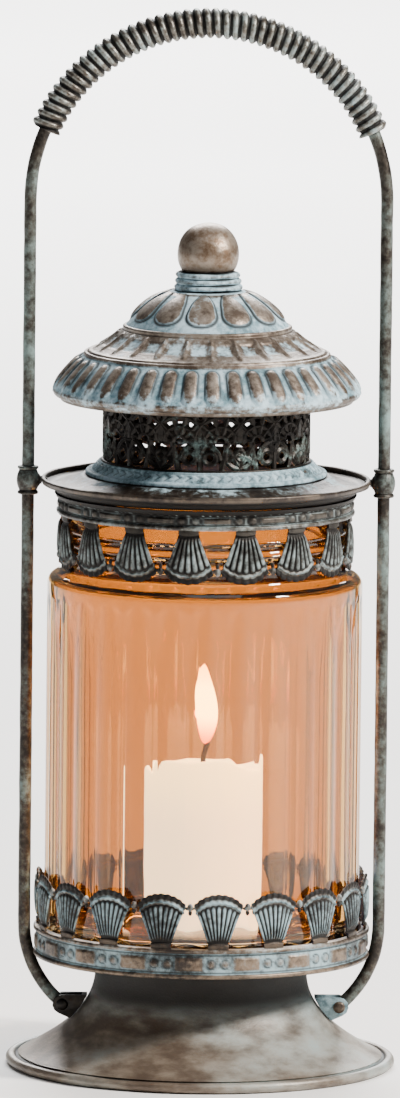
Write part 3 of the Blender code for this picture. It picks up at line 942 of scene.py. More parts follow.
@dataclass(frozen=True)
class Finishes:
    """The lantern's shared finishes."""

    roof: Material
    upper_row: Material
    lower_row: Material
    foot: Material
    plate: Material
    rod: Material
    dark: Material
    bronze: Material
    wire: Material

    @classmethod
    def make(cls) -> Finishes:
        """All of them.

        Returns:
            The finishes.
        """
        return cls(
            # a heavy chalky crust, with brown metal on the raised petals and gadroons
            roof=Patina(
                "roof_patina", 0.12, salting=0.72, metal="#8B8074", metal_dark="#493D33",
                crust="#AEC8D4", crust_deep="#50727D",
            ).make(),
            # dark and dull with a thin crust: painted shade, as it hangs in the plate's shade
            upper_row=Patina(
                "upper_row_patina_shaded", -0.1, salting=0.85, soften=0.3, metal="#5E5850",
                metal_dark="#211E1B", crust="#8FA1A3", crust_deep="#3C4D50",
            ).make(),
            # pale crust on the ribs and rims, and near black between them
            lower_row=Patina(
                "lower_row_patina", -0.05, salting=0.95, soften=0.3, metal="#7A6A5A",
                metal_dark="#2C2622", crust="#90AAB2", crust_deep="#3B5660", blotch=Grain(26.0, 3.0, 0.6),
            ).make(),
            # broad soft clouds of blue-grey over warm grey metal, rubbed bare low down
            foot=Patina(
                "foot_patina", 0.12, salting=0.5, drift=1.3, speckle=0.4, soften=0.4, metal="#9A8A78",
                metal_dark="#574A3F", crust="#86A4AB", crust_deep="#4A6B74", shine=0.42, metallic=0.35,
                blotch=Grain(46.0, 2.0, 0.5, (0.7, 0.7, 1.6)), fleck=Grain(8.0, 4.0, 0.6, (0.6, 0.6, 1.5)),
            ).make(),
            # dark brown, with a pale bloom on the slope beside the vent
            plate=Patina(
                "plate_patina", -0.24, salting=0.72, metal="#544A40", metal_dark="#241D19",
                crust="#96AFB9", crust_deep="#3F5962",
            ).make(),
            # brown-black with long grey-green stains
            rod=Patina(
                "rod_patina", 0.22, salting=0.4, soften=0.3, drift=1.3, speckle=0.5, metal="#4E453B",
                metal_dark="#1B1612", crust="#6F8785", crust_deep="#2E4042", blotch=Grain(30.0, 3.0, 0.6),
            ).make(),
            # nearly black, as soot and shade leave it, with a few salts
            dark=Patina(
                "dark_patina", -0.05, salting=0.55, metal="#2F2923", metal_dark="#0E0B09",
                crust="#6B8280", crust_deep="#2A3B3A",
            ).make(),
            # rubbed bright by handling, with hardly any salt
            bronze=Patina(
                "rubbed_bronze", -0.1, salting=0.9, drift=0.5, speckle=0.3, metal="#94887B",
                metal_dark="#5E4A38", shine=0.4, metallic=0.65,
            ).make(),
            # grey wire, worn to a soft shine on its ridges and crusted between the turns
            wire=Patina(
                "wire_patina", 0.22, salting=0.35, soften=0.3, metal="#837C71", metal_dark="#3C3630",
                crust="#8FA7AB", crust_deep="#4C6163", shine=0.36,
            ).make(),
        )


# ---------------------------------------------------------------- stand


@dataclass(frozen=True)
class Foot:
    """The flared foot: one spun sheet with a rolled rim, a groove beside it and a short neck."""

    sheet: float = 1.2
    neck_radius: float = 42.5
    neck_height: float = 6.0
    rim_width: float = 2.6
    rim_height: float = 3.4
    seat_width: float = 4.4
    flare: float = 2.4
    dent: float = 0.35
    dent_size: float = 22.0
    rows: int = 26
    segments: int = 160

    def surface(self, level: float, span: Span) -> float:
        """Radius of the outer face at a level.

        Args:
            level: The level.
            span: The foot's box.

        Returns:
            The radius.
        """
        curve = span.top - self.neck_height - self.rim_height
        share = min(1.0, (level - self.rim_height) / curve)
        reach = span.radius - self.rim_width - self.neck_radius
        return self.neck_radius + reach * (1 - share) ** self.flare

    def outline(self, span: Span) -> list[Vector]:
        """The closed outline of the sheet and its rim.

        Args:
            span: The foot's box.

        Returns:
            Its points, from the top's bore over the rim to the inside.
        """
        rim = span.radius
        curve = span.top - self.neck_height - self.rim_height
        levels = [span.top - self.neck_height - curve * (i / self.rows) ** 0.8 for i in range(self.rows)]
        outer = [point(1.0, span.top), point(self.neck_radius - 1.2, span.top, CREASE)]
        outer += [point(self.neck_radius, span.top - 1.2, CREASE)]
        for level in levels:
            salt = 0.25 + 0.5 * smooth((level - 9) / 24)
            # The darkening share rises to near black up the neck: painted shadow of the pan on the neck.
            soot_and_shade = 0.02 + 0.98 * smooth((level - 21) / 15)
            outer.append(point(self.surface(level, span), level, (salt, soot_and_shade)))
        # the groove beside the rim, and the rim's roll
        outer += [
            point(rim - 5.6, 4.1, (0.5, 0.1)), point(rim - 4.6, 3.6, (0.7, 0.6)),
            point(rim - 3.9, 3.4, (0.5, 0.9)), point(rim - 3.3, 3.9, (0.5, 0.4)),
        ]
        outer += arc((rim - 2.0, 2.4), 2.0, 130, -50, 10, (0.35, 0.0))
        under = [point(rim - 1.6, 0, CREASE), point(rim - self.seat_width, 0, CREASE)]
        inner = [point(rim - self.seat_width, 2.2, INSIDE)]
        for level in levels[::-1]:
            inner.append(point(self.surface(level, span) - self.sheet, level - self.sheet, (0.2, 0.6)))
        inner += [point(self.neck_radius - self.sheet, span.top - self.sheet, INSIDE)]
        inner += [point(1.0, span.top - self.sheet, INSIDE)]
        return outer + under + inner

    def build(self, finishes: Finishes) -> None:
        """Builds the foot.

        Args:
            finishes: The lantern's finishes.
        """
        bm = roughen(spun(self.outline(Span.of("foot")), self.segments), self.dent, self.dent_size)
        finish_piece(bm, Fit("flared_foot", Body.STAND, Slot.VERDIGRIS, ("foot",)), finishes.foot)


@dataclass(frozen=True)
class Pan:
    """The pan under the jar."""

    sheet: float = 1.0
    bore: float = 2.8
    corner: float = 2.4
    segments: int = 128

    def build(self, finishes: Finishes) -> None:
        """Builds the pan.

        Args:
            finishes: The lantern's finishes.
        """
        span = Span.of("pan")
        rim, floor = span.radius, span.bottom
        side = rim - self.sheet
        outline = [point(self.bore, floor, CREASE), point(rim - self.corner, floor, CREASE)]
        outline += arc((rim - self.corner, floor + self.corner), self.corner, -90, 0, 5)
        outline += [point(rim, span.top), point(side, span.top)]
        inner_corner = self.corner - self.sheet
        outline += arc((side - inner_corner, floor + self.sheet + inner_corner), inner_corner, 0, -90, 5)
        outline += [point(self.bore, floor + self.sheet, (0.3, 0.4))]
        fit = Fit("jar_pan", Body.STAND, Slot.DARK, ("pan",))
        finish_piece(spun(outline, self.segments), fit, finishes.dark)


@dataclass(frozen=True)
class ShellRow:
    """A ring of scallop shells on an embossed band, standing up or hanging down.

    A shell's ribs fan out from its waist. Places on it are shares: across from -1 to 1, and along
    from 0 at its foot to 1 at its scalloped edge.
    """

    node: str
    name: str
    body: Body
    shells: int
    phase: float  # degrees to the right of the front where a shell has its middle
    band: float  # height of the band
    hanging: bool
    ribs: int = 9
    sheet: float = 0.8
    bead: float = 0.95
    foot_half: float = 4.1
    fullness: float = 0.435  # half width of a shell over the pitch
    flare: float = 1.1
    fan_sweep: float = 66.0
    waist: float = 0.62  # level of the fan's centre over its height
    columns: int = 56
    rows: int = 34

    def rib(self, across: float) -> float:
        """1 on a rib's ridge and 0 in the groove beside it."""
        return abs(math.cos(math.pi * (self.ribs * across + self.ribs % 2 - 1) / 2))

    def edge(self, across: float, height: float, half: float) -> Vector:
        """A point of the fan's scalloped edge, for a share from -1 to 1 across the fan.

        Args:
            across: Share across the fan.
            height: Height of a shell.
            half: Half of its width.

        Returns:
            The point, on the flat shell.
        """
        angle = math.radians(self.fan_sweep * across)
        lobe = 0.97 + 0.05 * self.rib(across)
        rise = (1 - self.waist) * height
        side = half / math.sin(math.radians(self.fan_sweep))
        level = self.waist * height + rise * lobe * math.cos(angle)
        return Vector((side * lobe * math.sin(angle), 0, level))

    def relief(self, across: float, along: float) -> tuple[float, Tone]:
        """Height and tone on the shell, for shares across and along its ribs.

        Args:
            across: Share across the ribs.
            along: Share along the ribs.

        Returns:
            The height above a flat sheet, and the tone.
        """
        rib = self.rib(across)
        fan = smooth((along - 0.12) / 0.12) * (1 - smooth((along - 0.76) / 0.04))
        ridge = rib**0.7 * fan
        line = math.exp(-(((along - 0.855) / 0.024) ** 2))
        beads = rib * math.exp(-(((along - 0.96) / 0.03) ** 2))
        side = smooth((abs(across) - 0.90) / 0.06) * smooth((along - 0.1) / 0.2)
        bar = smooth((0.115 - along) / 0.02)
        bulge = 1.2 * (1 - across**2) * math.sin(math.pi * min(1.0, along * 0.9))
        height = bulge + 0.8 * ridge + 0.8 * line + 0.7 * beads + 0.5 * side + 0.9 * bar
        groove = (1 - rib) ** 1.3 * fan
        seam = math.exp(-(((along - 0.785) / 0.022) ** 2)) + math.exp(-(((along - 0.135) / 0.02) ** 2))
        notch = (1 - rib) * smooth((along - 0.91) / 0.03)
        # A hanging row's scalloped edge darkens more: painted shade under the plate.
        fringe = smooth((along - 0.88) / 0.03) * (0.9 if self.hanging else 0.55)
        soot_and_shade = 0.14 + 1.1 * groove + 0.9 * seam + 0.8 * notch + fringe + 0.35 * smooth((0.6 - along) / 0.5)
        salt = 0.4 + 0.45 * line + 0.3 * ridge + 0.2 * side - 0.4 * bar
        return height, (min(1.0, max(0.0, salt)), min(1.0, max(0.0, soot_and_shade * (1 - 0.7 * side) - 0.3 * line)))

    def shell(self, height: float, half: float) -> BMesh:
        """One flat shell with its foot at Z = 0.

        Args:
            height: Height of a shell.
            half: Half of its width.

        Returns:
            The shell.
        """
        bm = fresh()
        bmesh.ops.create_grid(bm, x_segments=self.columns, y_segments=self.rows, size=1)
        for vert in bm.verts:
            across, along = vert.co.x, (vert.co.y + 1) / 2
            edge = self.edge(across, height, half)
            raised, tone = self.relief(across, along)
            foot = self.foot_half * across
            sweep = max(0.0, (along - 0.1) / 0.9) ** self.flare
            vert.co = Vector((foot * (1 - sweep) + edge.x * sweep, -raised, edge.z * along))
            paint(bm, [vert], tone)
        bmesh.ops.recalc_face_normals(bm, faces=bm.faces)
        front = set(bm.verts)
        bmesh.ops.solidify(bm, geom=bm.faces, thickness=self.sheet)
        paint(bm, [vert for vert in bm.verts if vert not in front], (0.2, 0.6))
        return bm

    def tile(self, height: float, pitch: float) -> BMesh:
        """A shell, and the knobs that link it to the next one.

        Args:
            height: Height of a shell.
            pitch: Width of a repeat.

        Returns:
            The tile.
        """
        half = self.fullness * pitch
        bm = self.shell(height, half)
        link = self.edge(1, height, half).z - 0.4
        add_ball(bm, Vector((pitch / 2, -0.8, link + 0.3)), Vector((1.15, 1.1, 1.6)), (0.5, 0.1), 8)
        add_ball(bm, Vector((pitch / 2, -0.5, link - 1.9)), Vector((0.8, 0.8, 1.2)), (0.3, 0.7))
        for side in (-1, 1):
            place = Vector((side * (half + pitch / 2) / 2, -0.5, link - 0.2))
            add_ball(bm, place, Vector((1.25, 0.7, 0.75)), (0.3, 0.5))
        return bm

    def band_pattern(self, low: float, high: float) -> Pattern:
        """Dashes under the links and two dots under each shell, between the band's two beads.

        Args:
            low: Level of the field's lower edge.
            high: Level of its upper edge.

        Returns:
            The pattern.
        """
        pitch = 360 / self.shells
        middle = (low + high) / 2
        half = (high - low) / 2

        def dashes_and_dots(spot: Spot) -> tuple[float, Tone] | None:
            """The band at a spot.

            Args:
                spot: The spot.

            Returns:
                Its height and tone, or None outside the field.
            """
            if spot.outward < 0.5 or not low < spot.level < high:
                return None
            across = spot.across(pitch, self.phase)
            width = math.radians(pitch) * spot.radius
            beside = min(abs(across - 0.5), abs(across + 0.5)) * width
            rise = abs(spot.level - middle)
            reach = 0.24 * width
            dash = smooth((reach - beside) / 0.8) * smooth((0.72 * half - rise) / 0.7)
            rim = smooth((reach + 1.1 - beside) / 0.9) * (1 - smooth((reach - beside) / 0.7))
            dot = math.hypot(abs(across) * width - 2.8, rise)
            dots = math.sqrt(max(0.0, 1 - (dot / 1.6) ** 2))
            ring = math.exp(-(((dot - 1.8) / 0.5) ** 2)) * (1 - dash)
            border = smooth((rise - 0.74 * half) / (0.16 * half))
            soot_and_shade = 0.1 + 0.6 * ring + 0.6 * border + 0.3 * rim * (1 - border)
            salt = 0.68 * (1 - 0.75 * dash) * (1 - 0.5 * dots)
            # A hanging band darkens more overall: painted shade under the plate.
            return 0.9 * max(dash, dots), (salt, min(1.0, soot_and_shade + (0.25 if self.hanging else 0.0)))

        return dashes_and_dots

    def band_mesh(self, span: Span, edge: float, far: float) -> BMesh:
        """The embossed band between the shells' edge and the far edge.

        Args:
            span: The gallery's box.
            edge: Level where the shells meet the band.
            far: Level of the band's other edge.

        Returns:
            The band.
        """
        low, high = min(edge, far), max(edge, far)
        outer = span.radius
        inner = outer - self.sheet
        bead = self.bead
        if self.hanging:
            outline = [point(inner, high, INSIDE), point(outer + 1.9, high, INSIDE)]
            outline += [point(outer + 1.2, high - 1.4, (0.1, 0.9)), point(outer, high - 2.0, (0.2, 0.8))]
            top_field = high - 2.0
        else:
            outline = [point(inner, high, (0.4, 0.6))]
            outline += arc((outer + 0.25, high - bead), bead, 90, -50, 8, (0.35, 0.0))
            top_field = high - 2 * bead
        rows = 14
        field = top_field - low - 2 * bead
        outline += [point(outer, top_field - field * i / rows, (0.8, 0.2)) for i in range(rows + 1)]
        outline += arc((outer + 0.25, low + bead), bead, 50, -90, 8, (0.5 if self.hanging else 0.1, 0.0))
        outline += [point(inner, low, (0.3, 0.6))]
        bm = spun(outline, 24 * self.shells)
        return emboss(bm, self.band_pattern(low + 2.1 * bead, top_field - 0.2))

    def build(self, finishes: Finishes) -> None:
        """Builds the gallery.

        Args:
            finishes: The lantern's finishes.
        """
        span = Span.of(self.node)
        radius = span.radius - self.sheet
        pitch = math.tau * span.radius / self.shells
        if self.hanging:
            edge, far = span.top - self.band, span.top
            height = edge - span.bottom
        else:
            edge, far = span.bottom + self.band, span.bottom
            height = span.top - edge
        bm = wrap_round(self.tile(height, pitch), self.shells, radius, self.phase)
        way = -1 if self.hanging else 1
        for vert in bm.verts:
            vert.co.z = edge + way * vert.co.z
        bm = tidy(join(bm, self.band_mesh(span, edge, far)))
        finish = finishes.upper_row if self.hanging else finishes.lower_row
        finish_piece(bm, Fit(self.name, self.body, Slot.VERDIGRIS, (self.node,)), finish, 60)


@dataclass(frozen=True)
class Bail:
    """The bail's rod and the wire wound tightly round the top of its arch."""

    turns: int = 46
    rows_per_turn: int = 10
    grip_sides: int = 28
    wire_height: float = 1.7
    rod_end: float = 3.4  # straight end past the rivet
    rod_step: float = 3.0
    rod_sides: int = 16
    bend_steps: int = 14
    arch_steps: int = 72
    dent: float = 0.12
    dent_size: float = 7.0

    def build(self, finishes: Finishes) -> None:
        """Builds the rod and the grip.

        Args:
            finishes: The lantern's finishes.
        """
        rod = Span.of("bail_rod")
        thick = (rod.high.y - rod.low.y) / 2
        reach = rod.radius - thick
        centre = rod.top - rod.radius
        bm = tube(self.route(reach, centre, thick), thick, self.rod_sides)
        roughen(bm, self.dent, self.dent_size)
        finish_piece(bm, Fit("bail_rod_bent", Body.STAND, Slot.VERDIGRIS, ("bail_rod",)), finishes.rod)
        self.build_grip(finishes, reach, centre)

    def route(self, reach: float, centre: float, thick: float) -> list[Vector]:
        """The rod's centre line, from the left bracket over the arch to the right bracket.

        Args:
            reach: Distance of the uprights from the axis.
            centre: Level of the arch's centre.
            thick: The rod's radius.

        Returns:
            The line's points.
        """
        rivet = Span.of("bail_rivet_right").centre
        gallery = Span.of("lower_gallery")
        spare = reach - thick - gallery.radius - 2 * GAP
        start = gallery.bottom
        for _ in range(6):  # each pass brings the bend's start nearer to where it just clears the gallery
            drop = start - rivet.z
            turn = 2 * math.atan2(reach - rivet.x, drop)
            radius = drop / math.sin(turn)
            start = gallery.bottom + math.sqrt(2 * radius * spare)
        drop = start - rivet.z
        turn = 2 * math.atan2(reach - rivet.x, drop)
        radius = drop / math.sin(turn)
        angles = [turn * i / self.bend_steps for i in range(self.bend_steps + 1)]
        bend = [
            Vector((reach - radius + radius * math.cos(a), 0, start - radius * math.sin(a))) for a in angles
        ]
        tip = bend[-1] + Vector((-math.sin(turn), 0, -math.cos(turn))) * self.rod_end
        rows = int((centre - start) / self.rod_step)
        upright = [Vector((reach, 0, start + (centre - start) * i / rows)) for i in range(1, rows)]
        right = [tip, *bend[::-1], *upright]
        angles = [math.pi * i / self.arch_steps for i in range(self.arch_steps + 1)]
        arch = [Vector((reach * math.cos(a), 0, centre + reach * math.sin(a))) for a in angles]
        left = [Vector((-p.x, 0, p.z)) for p in right[::-1]]
        return right + arch + left

    def build_grip(self, finishes: Finishes, reach: float, centre: float) -> None:
        """Winds the wire round the arch: a tube with a helical ridge for each turn.

        Args:
            finishes: The lantern's finishes.
            reach: Radius of the arch.
            centre: Level of the arch's centre.
        """
        grip = Span.of("grip_wrap")
        outer = grip.top - centre - reach
        first = math.asin((grip.bottom - centre) / (reach - outer))
        rows = self.turns * self.rows_per_turn
        places = []
        for i in range(rows + 1):
            angle = first + (math.pi - 2 * first) * i / rows
            places.append(Vector((reach * math.cos(angle), 0, centre + reach * math.sin(angle))))
        bm = tube(places, outer - self.wire_height, self.grip_sides)
        for vert in bm.verts:
            along = math.atan2(vert.co.z - centre, vert.co.x)
            middle = Vector((reach * math.cos(along), 0, centre + reach * math.sin(along)))
            arm = vert.co - middle
            if arm.length < 0.9 * (outer - self.wire_height):
                continue
            out = math.hypot(vert.co.x, vert.co.z - centre) - reach
            turn = (along - first) / (math.pi - 2 * first) * self.turns
            phase = turn - math.atan2(vert.co.y, out) / math.tau
            ridge = abs(math.sin(math.pi * phase)) ** 0.8
            vert.co = middle + arm.normalized() * (outer - self.wire_height * (1 - ridge))
            paint(bm, [vert], (0.3 + 0.4 * (1 - ridge), smooth((0.97 - ridge) / 0.5)))
        fit = Fit("wound_grip", Body.STAND, Slot.WIRE, ("grip_wrap",))
        finish_piece(bm, fit, finishes.wire, 80)


@dataclass(frozen=True)
class Brackets:
    """The forked brackets and their rivets, with rounded edges."""

    rounding: float = 0.5
    shank: float = 0.52  # its radius over the head's
    dome: float = 0.42  # the head's height over its radius

    def build(self, finishes: Finishes) -> None:
        """Builds both sides.

        Args:
            finishes: The lantern's finishes.
        """
        # The left bracket and its rivet take the near-black finish, the right ones the crusted lower-row
        # finish: painted shade on the side away from the light.
        sides = (("left", finishes.dark, PLAIN), ("right", finishes.lower_row, CRUSTED))
        for word, finish, tone in sides:
            bracket = bevelled_copy(f"bail_bracket_{word}", self.rounding, tone)
            fit = Fit(f"bail_lug_{word}", Body.STAND, Slot.VERDIGRIS, (f"bail_bracket_{word}",))
            finish_piece(bracket, fit, finish)
            self.build_rivet(word, finish)

    def build_rivet(self, word: str, finish: Material) -> None:
        """One domed rivet across the fork.

        Args:
            word: Its side, left or right.
            finish: Its finish.
        """
        span = Span.of(f"bail_rivet_{word}")
        half, head = span.high.y, span.radius
        shank = self.shank * head
        tall = self.dome * head
        angles = [math.pi / 2 * i / 6 for i in range(6)]
        dome = [point(head * math.cos(a), half - tall + tall * math.sin(a), (0.3, 0.1)) for a in angles]
        side = [point(shank, half - tall, CREASE), *dome, point(0, half, (0.3, 0.0))]
        outline = [Vector((p.x, -p.y, p.z, p.w)) for p in side[::-1]] + side
        place = Matrix.Translation(Vector((span.centre.x, 0, span.centre.z)))
        bm = spun(outline, 20)
        bmesh.ops.transform(bm, matrix=place @ Matrix.Rotation(math.pi / 2, 4, "X"), verts=bm.verts)
        fit = Fit(f"lug_rivet_{word}", Body.STAND, Slot.BRONZE, (f"bail_rivet_{word}",))
        finish_piece(bm, fit, finish)


# ---------------------------------------------------------------- jar and candle


@dataclass(frozen=True)
class FlutedJar:
    """The pressed glass jar: convex flutes that its inner wall follows, and a ringed neck."""

    flutes: int = 28
    phase: float = 1.2  # degrees to the right of the front where a flute has its ridge
    depth: float = 1.3
    wall: float = 3.0
    base: float = 9.0  # thickness of the floor
    kick: float = 3.4  # rise of the floor's underside
    corner: float = 6.0
    step: float = 6.6  # from the jar's side in to its neck
    shoulder_round: float = 4.4
    neck_rings: tuple[float, ...] = (6.0, 11.5, 17.0)  # heights above the shoulder
    per_flute: int = 12

    def outline(self, span: Span, shoulder: float) -> list[Vector]:
        """The closed outline, without flutes.

        Args:
            span: The jar's box.
            shoulder: Level of the shoulder.

        Returns:
            Its points.
        """
        low, radius = span.bottom, span.radius
        neck = radius - self.step
        inner = radius - self.wall
        outer = [point(0, low + self.kick), point(0.6 * radius, low + self.kick)]
        outer += [point(0.82 * radius, low + 0.3), point(0.86 * radius, low)]
        outer += arc((radius - self.corner, low + self.corner), self.corner, -90, 0, 8)
        rows = 10
        top = shoulder - 1.2 - self.shoulder_round
        start = low + self.corner
        outer += [point(radius, start + (top - 6 - start) * i / rows) for i in range(1, rows + 1)]
        outer += [point(radius, top - 5 + i) for i in range(5)]
        outer += arc((radius - self.shoulder_round, top), self.shoulder_round, 0, 84, 9)
        outer += [point(neck + 1.2, shoulder - 0.4), point(neck + 0.3, shoulder + 0.4)]
        for ring in self.neck_rings:
            outer += [point(neck, shoulder + ring - 2.0), *arc((neck, shoulder + ring), 1.25, -80, 80, 6)]
        outer += arc((neck - 1.4, span.top - 1.4), 1.4, 0, 90, 4)
        neck_inner = neck - self.wall
        rim = arc((neck_inner + 1.2, span.top - 1.2), 1.2, 90, 180, 4)
        inside = [point(neck_inner, shoulder - 2.0)]
        inside += arc((radius - self.shoulder_round, top), self.shoulder_round - self.wall, 80, 0, 7)
        floor = low + self.base
        inside += [
            point(inner, top - 5 - (top - floor - self.corner - 5) * i / rows) for i in range(rows + 1)
        ]
        inside += arc((inner - self.corner, floor + self.corner), self.corner, 0, -90, 6)[1:]
        inside += [point(0, floor)]
        return outer + rim + inside

    def build(self) -> None:
        """Builds the jar."""
        span = Span.of("glass_jar")
        shoulder = Span.of("upper_gallery").bottom - 1.0
        bm = spun(self.outline(span, shoulder), self.flutes * self.per_flute)
        low, high = span.bottom + self.corner, shoulder - 1.2 - self.shoulder_round
        inner = span.radius - self.wall

        def flute(spot: Spot) -> tuple[float, Tone] | None:
            """The glass at a spot: the inner wall follows the outer one.

            Args:
                spot: The spot.

            Returns:
                Its depth below the plain wall, or None on the neck, shoulder and floor.
            """
            inside = spot.outward < -0.4
            if inside and spot.radius < inner - 2.5:
                return None
            if not inside and (spot.outward <= 0.05 or spot.radius < span.radius - self.shoulder_round):
                return None
            swell = abs(math.cos(math.pi * spot.across(360 / self.flutes, self.phase)))
            rounded_top = high - 1.0 - 6.0 * (1 - swell)
            start = span.bottom + self.base + 3 if inside else low - 5
            fade = smooth((rounded_top - spot.level) / 3.0) * smooth((spot.level - start) / 5)
            dip = self.depth * (1 - swell**1.1) * fade
            return (0.95 * dip if inside else -dip), PLAIN

        emboss(bm, flute)
        fit = Fit("fluted_jar", Body.JAR, Slot.GLASS, ("glass_jar",))
        jar = finish_piece(bm, fit, FlutedGlass().make(), 80)
        jar.visible_shadow = False


@dataclass(frozen=True)
class Candle:
    """The pillar candle with its melted rim, its bent wick and its flame."""

    pool: float = 4.0  # depth of the melted pool
    drips: tuple[tuple[float, float, float], ...] = (  # degrees right of the front, length, width
        (-38, 26, 1.0), (16, 15, 0.7), (64, 34, 1.0), (150, 22, 1.0),
    )
    glow_depth: float = 30.0  # length of the candle's top that the flame lights
    wick_radius: float = 0.9
    flame_radius: float = 4.0
    flame_height: float = 32.5
    flame_drop: float = 0.6  # from the wick's tip down to the flame's foot
    rows: int = 34
    segments: int = 120

    def rim_lift(self, angle: float) -> float:
        """Height of the melted rim against the level of a new candle's top.

        Args:
            angle: Degrees to the right of the front.

        Returns:
            The height, less than 0 where wax has run off.
        """
        turn = math.radians(angle)
        across = math.sin(turn)
        waves = 0.35 * math.sin(3 * turn + 0.6) + 0.25 * math.sin(8 * turn)
        step = -5.2 * smooth((-0.66 - across) / 0.07)
        slope = -4.6 * smooth((across - 0.4) / 0.45) * (1 - smooth((across - 0.9) / 0.06))
        far_side = -5.0 * smooth((abs(angle) - 95) / 30)
        return waves + step + slope + far_side

    def build_wax(self, span: Span) -> None:
        """Builds the candle's body.

        Args:
            span: The candle's box.
        """
        radius, low, high = span.radius, span.bottom, span.top
        pool = high - self.pool
        outline = [point(0, low), point(radius - 1, low), point(radius, low + 1)]
        straight = high - 3.5 - low
        outline += [point(radius, low + 1 + straight * i / self.rows) for i in range(1, self.rows + 1)]
        outline += arc((radius - 1.5, high - 1.2), 1.5, 20, 160, 8)
        outline += bowed((radius - 3.4, high - 1.8), (0.5 * radius, pool), 0.9, 8)
        outline += [point(0.25 * radius, pool - 0.3), point(0, pool - 0.3)]
        bm = spun(outline, self.segments)
        for vert in bm.verts:
            reach = math.hypot(vert.co.x, vert.co.y)
            angle = (math.degrees(math.atan2(vert.co.y, vert.co.x)) - FRONT + 180) % 360 - 180
            near_top = smooth((vert.co.z - high + 14) / 13)
            vert.co.z += self.rim_lift(angle) * near_top * smooth((reach - 0.45 * radius) / (0.4 * radius))
            if reach < 0.9 * radius:
                continue
            swell = 0.25 * noise.noise(Vector((angle / 24, 0, vert.co.z / 20)))
            for side, length, width in self.drips:
                beside = (angle - side + 180) % 360 - 180
                tail = high - length
                body = math.exp(-((beside / 4.5) ** 2)) * smooth((vert.co.z - tail) / 3)
                knob = math.exp(-((beside / 5.5) ** 2) - ((vert.co.z - tail - 3) / 3) ** 2)
                swell += 0.55 * width * body + 0.5 * width * knob
            vert.co.x *= 1 + swell / reach
            vert.co.y *= 1 + swell / reach
        wax = Wax().make(high - self.glow_depth, high)
        fit = Fit("pillar_candle", Body.CANDLE, Slot.WAX, ("candle",))
        finish_piece(roughen(bm, 0.12, 5), fit, wax, 60)

    def build_wick(self, pool: float) -> float:
        """Builds the bent wick and gives the level of its tip.

        Args:
            pool: Level of the melted pool.

        Returns:
            The tip's level.
        """
        wick = Span.of("wick")
        tall = wick.top - pool
        steps = 14
        places = []
        for i in range(steps + 1):
            share = i / steps
            level = pool - 3 + (tall + 3) * share
            places.append(Vector((1.5 * share**2 + 0.15 * math.sin(9 * share), 0.4 * share, level)))
        bm = roughen(tube(places, self.wick_radius, 10), 0.18, 0.8)
        fit = Fit("burnt_wick", Body.CANDLE, Slot.WICK, ("wick",))
        finish_piece(bm, fit, CharredCotton().make())
        return wick.top

    def build_flame(self, tip: float) -> None:
        """Builds the flame round the wick's tip.

        Args:
            tip: Level of the wick's tip.
        """
        foot = tip - self.flame_drop
        steps = 30
        outline = []
        for i in range(steps + 1):
            share = i / steps
            belly = math.sin(math.pi * share**0.85) ** 0.62 * (0.86 + 0.14 * math.sin(math.pi * share))
            outline.append(point(self.flame_radius * belly, foot + self.flame_height * share))
        outline[0].x = 0
        outline[-1].x = 0
        bm = spun(outline, 40)
        for vert in bm.verts:
            share = (vert.co.z - foot) / self.flame_height
            vert.co.x += 0.9 + 0.6 * math.sin(5.5 * share)
        material = FlameLight().make(foot, foot + self.flame_height)
        flame = finish_piece(bm, Fit("candle_flame", Body.CANDLE, Slot.WICK), material, 80)
        flame.visible_shadow = False

    def build(self) -> None:
        """Builds the candle, the wick and the flame."""
        span = Span.of("candle")
        self.build_wax(span)
        tip = self.build_wick(span.top - self.pool)
        self.build_flame(tip)


# ---------------------------------------------------------------- cover


@dataclass(frozen=True)
class ShoulderPlate:
    """The dished plate: a shelf for the vent, a slope and a thin rolled rim."""

    sheet: float = 0.8
    segments: int = 160

    def build(self, finishes: Finishes) -> None:
        """Builds the plate.

        Args:
            finishes: The lantern's finishes.
        """
        span, ring = Span.of("shoulder_plate"), Span.of("vent_ring")
        gallery = Span.of("upper_gallery")
        bore = Span.of("vent_collar").radius - 1.6
        rim, under, shelf = span.radius, span.bottom, span.top
        lip = Span.of("sleeve_pin_right").centre.z + 1.5
        cove = gallery.radius + 1
        top = [point(bore, shelf, INSIDE), point(ring.radius - 0.5, shelf, INSIDE)]
        top += [point(ring.radius + 0.6, shelf, (0.8, 0.5))]
        top += bowed((ring.radius + 1.2, shelf), (rim - 4.0, under + 3.0), -0.4, 12, (1.0, 0.0), (0.5, 0.15))
        top += [point(rim - 2.4, under + 3.4, (0.3, 0.6))]
        top += [point(rim - self.sheet - 0.2, lip - 2.0, (0.2, 0.5))]
        top += arc((rim - 0.35, lip - 0.95), 0.95, 160, -40, 9, (0.35, 0.0))
        # The underside darkens to near black towards the cove: painted shade under the plate.
        below = bowed((rim, lip - 2.6), (cove, under), -0.9, 7, (0.05, 0.75), (0.0, 1.0))
        ceiling = shelf - self.sheet
        below += [point(gallery.radius - 5, under, INSIDE), point(ring.radius + 1.2, ceiling, INSIDE)]
        below += [point(bore, ceiling, INSIDE)]
        bm = roughen(spun(top + below, self.segments), 0.2, 15)
        fit = Fit("dished_plate", Body.COVER, Slot.DARK, ("shoulder_plate",))
        finish_piece(bm, fit, finishes.plate)


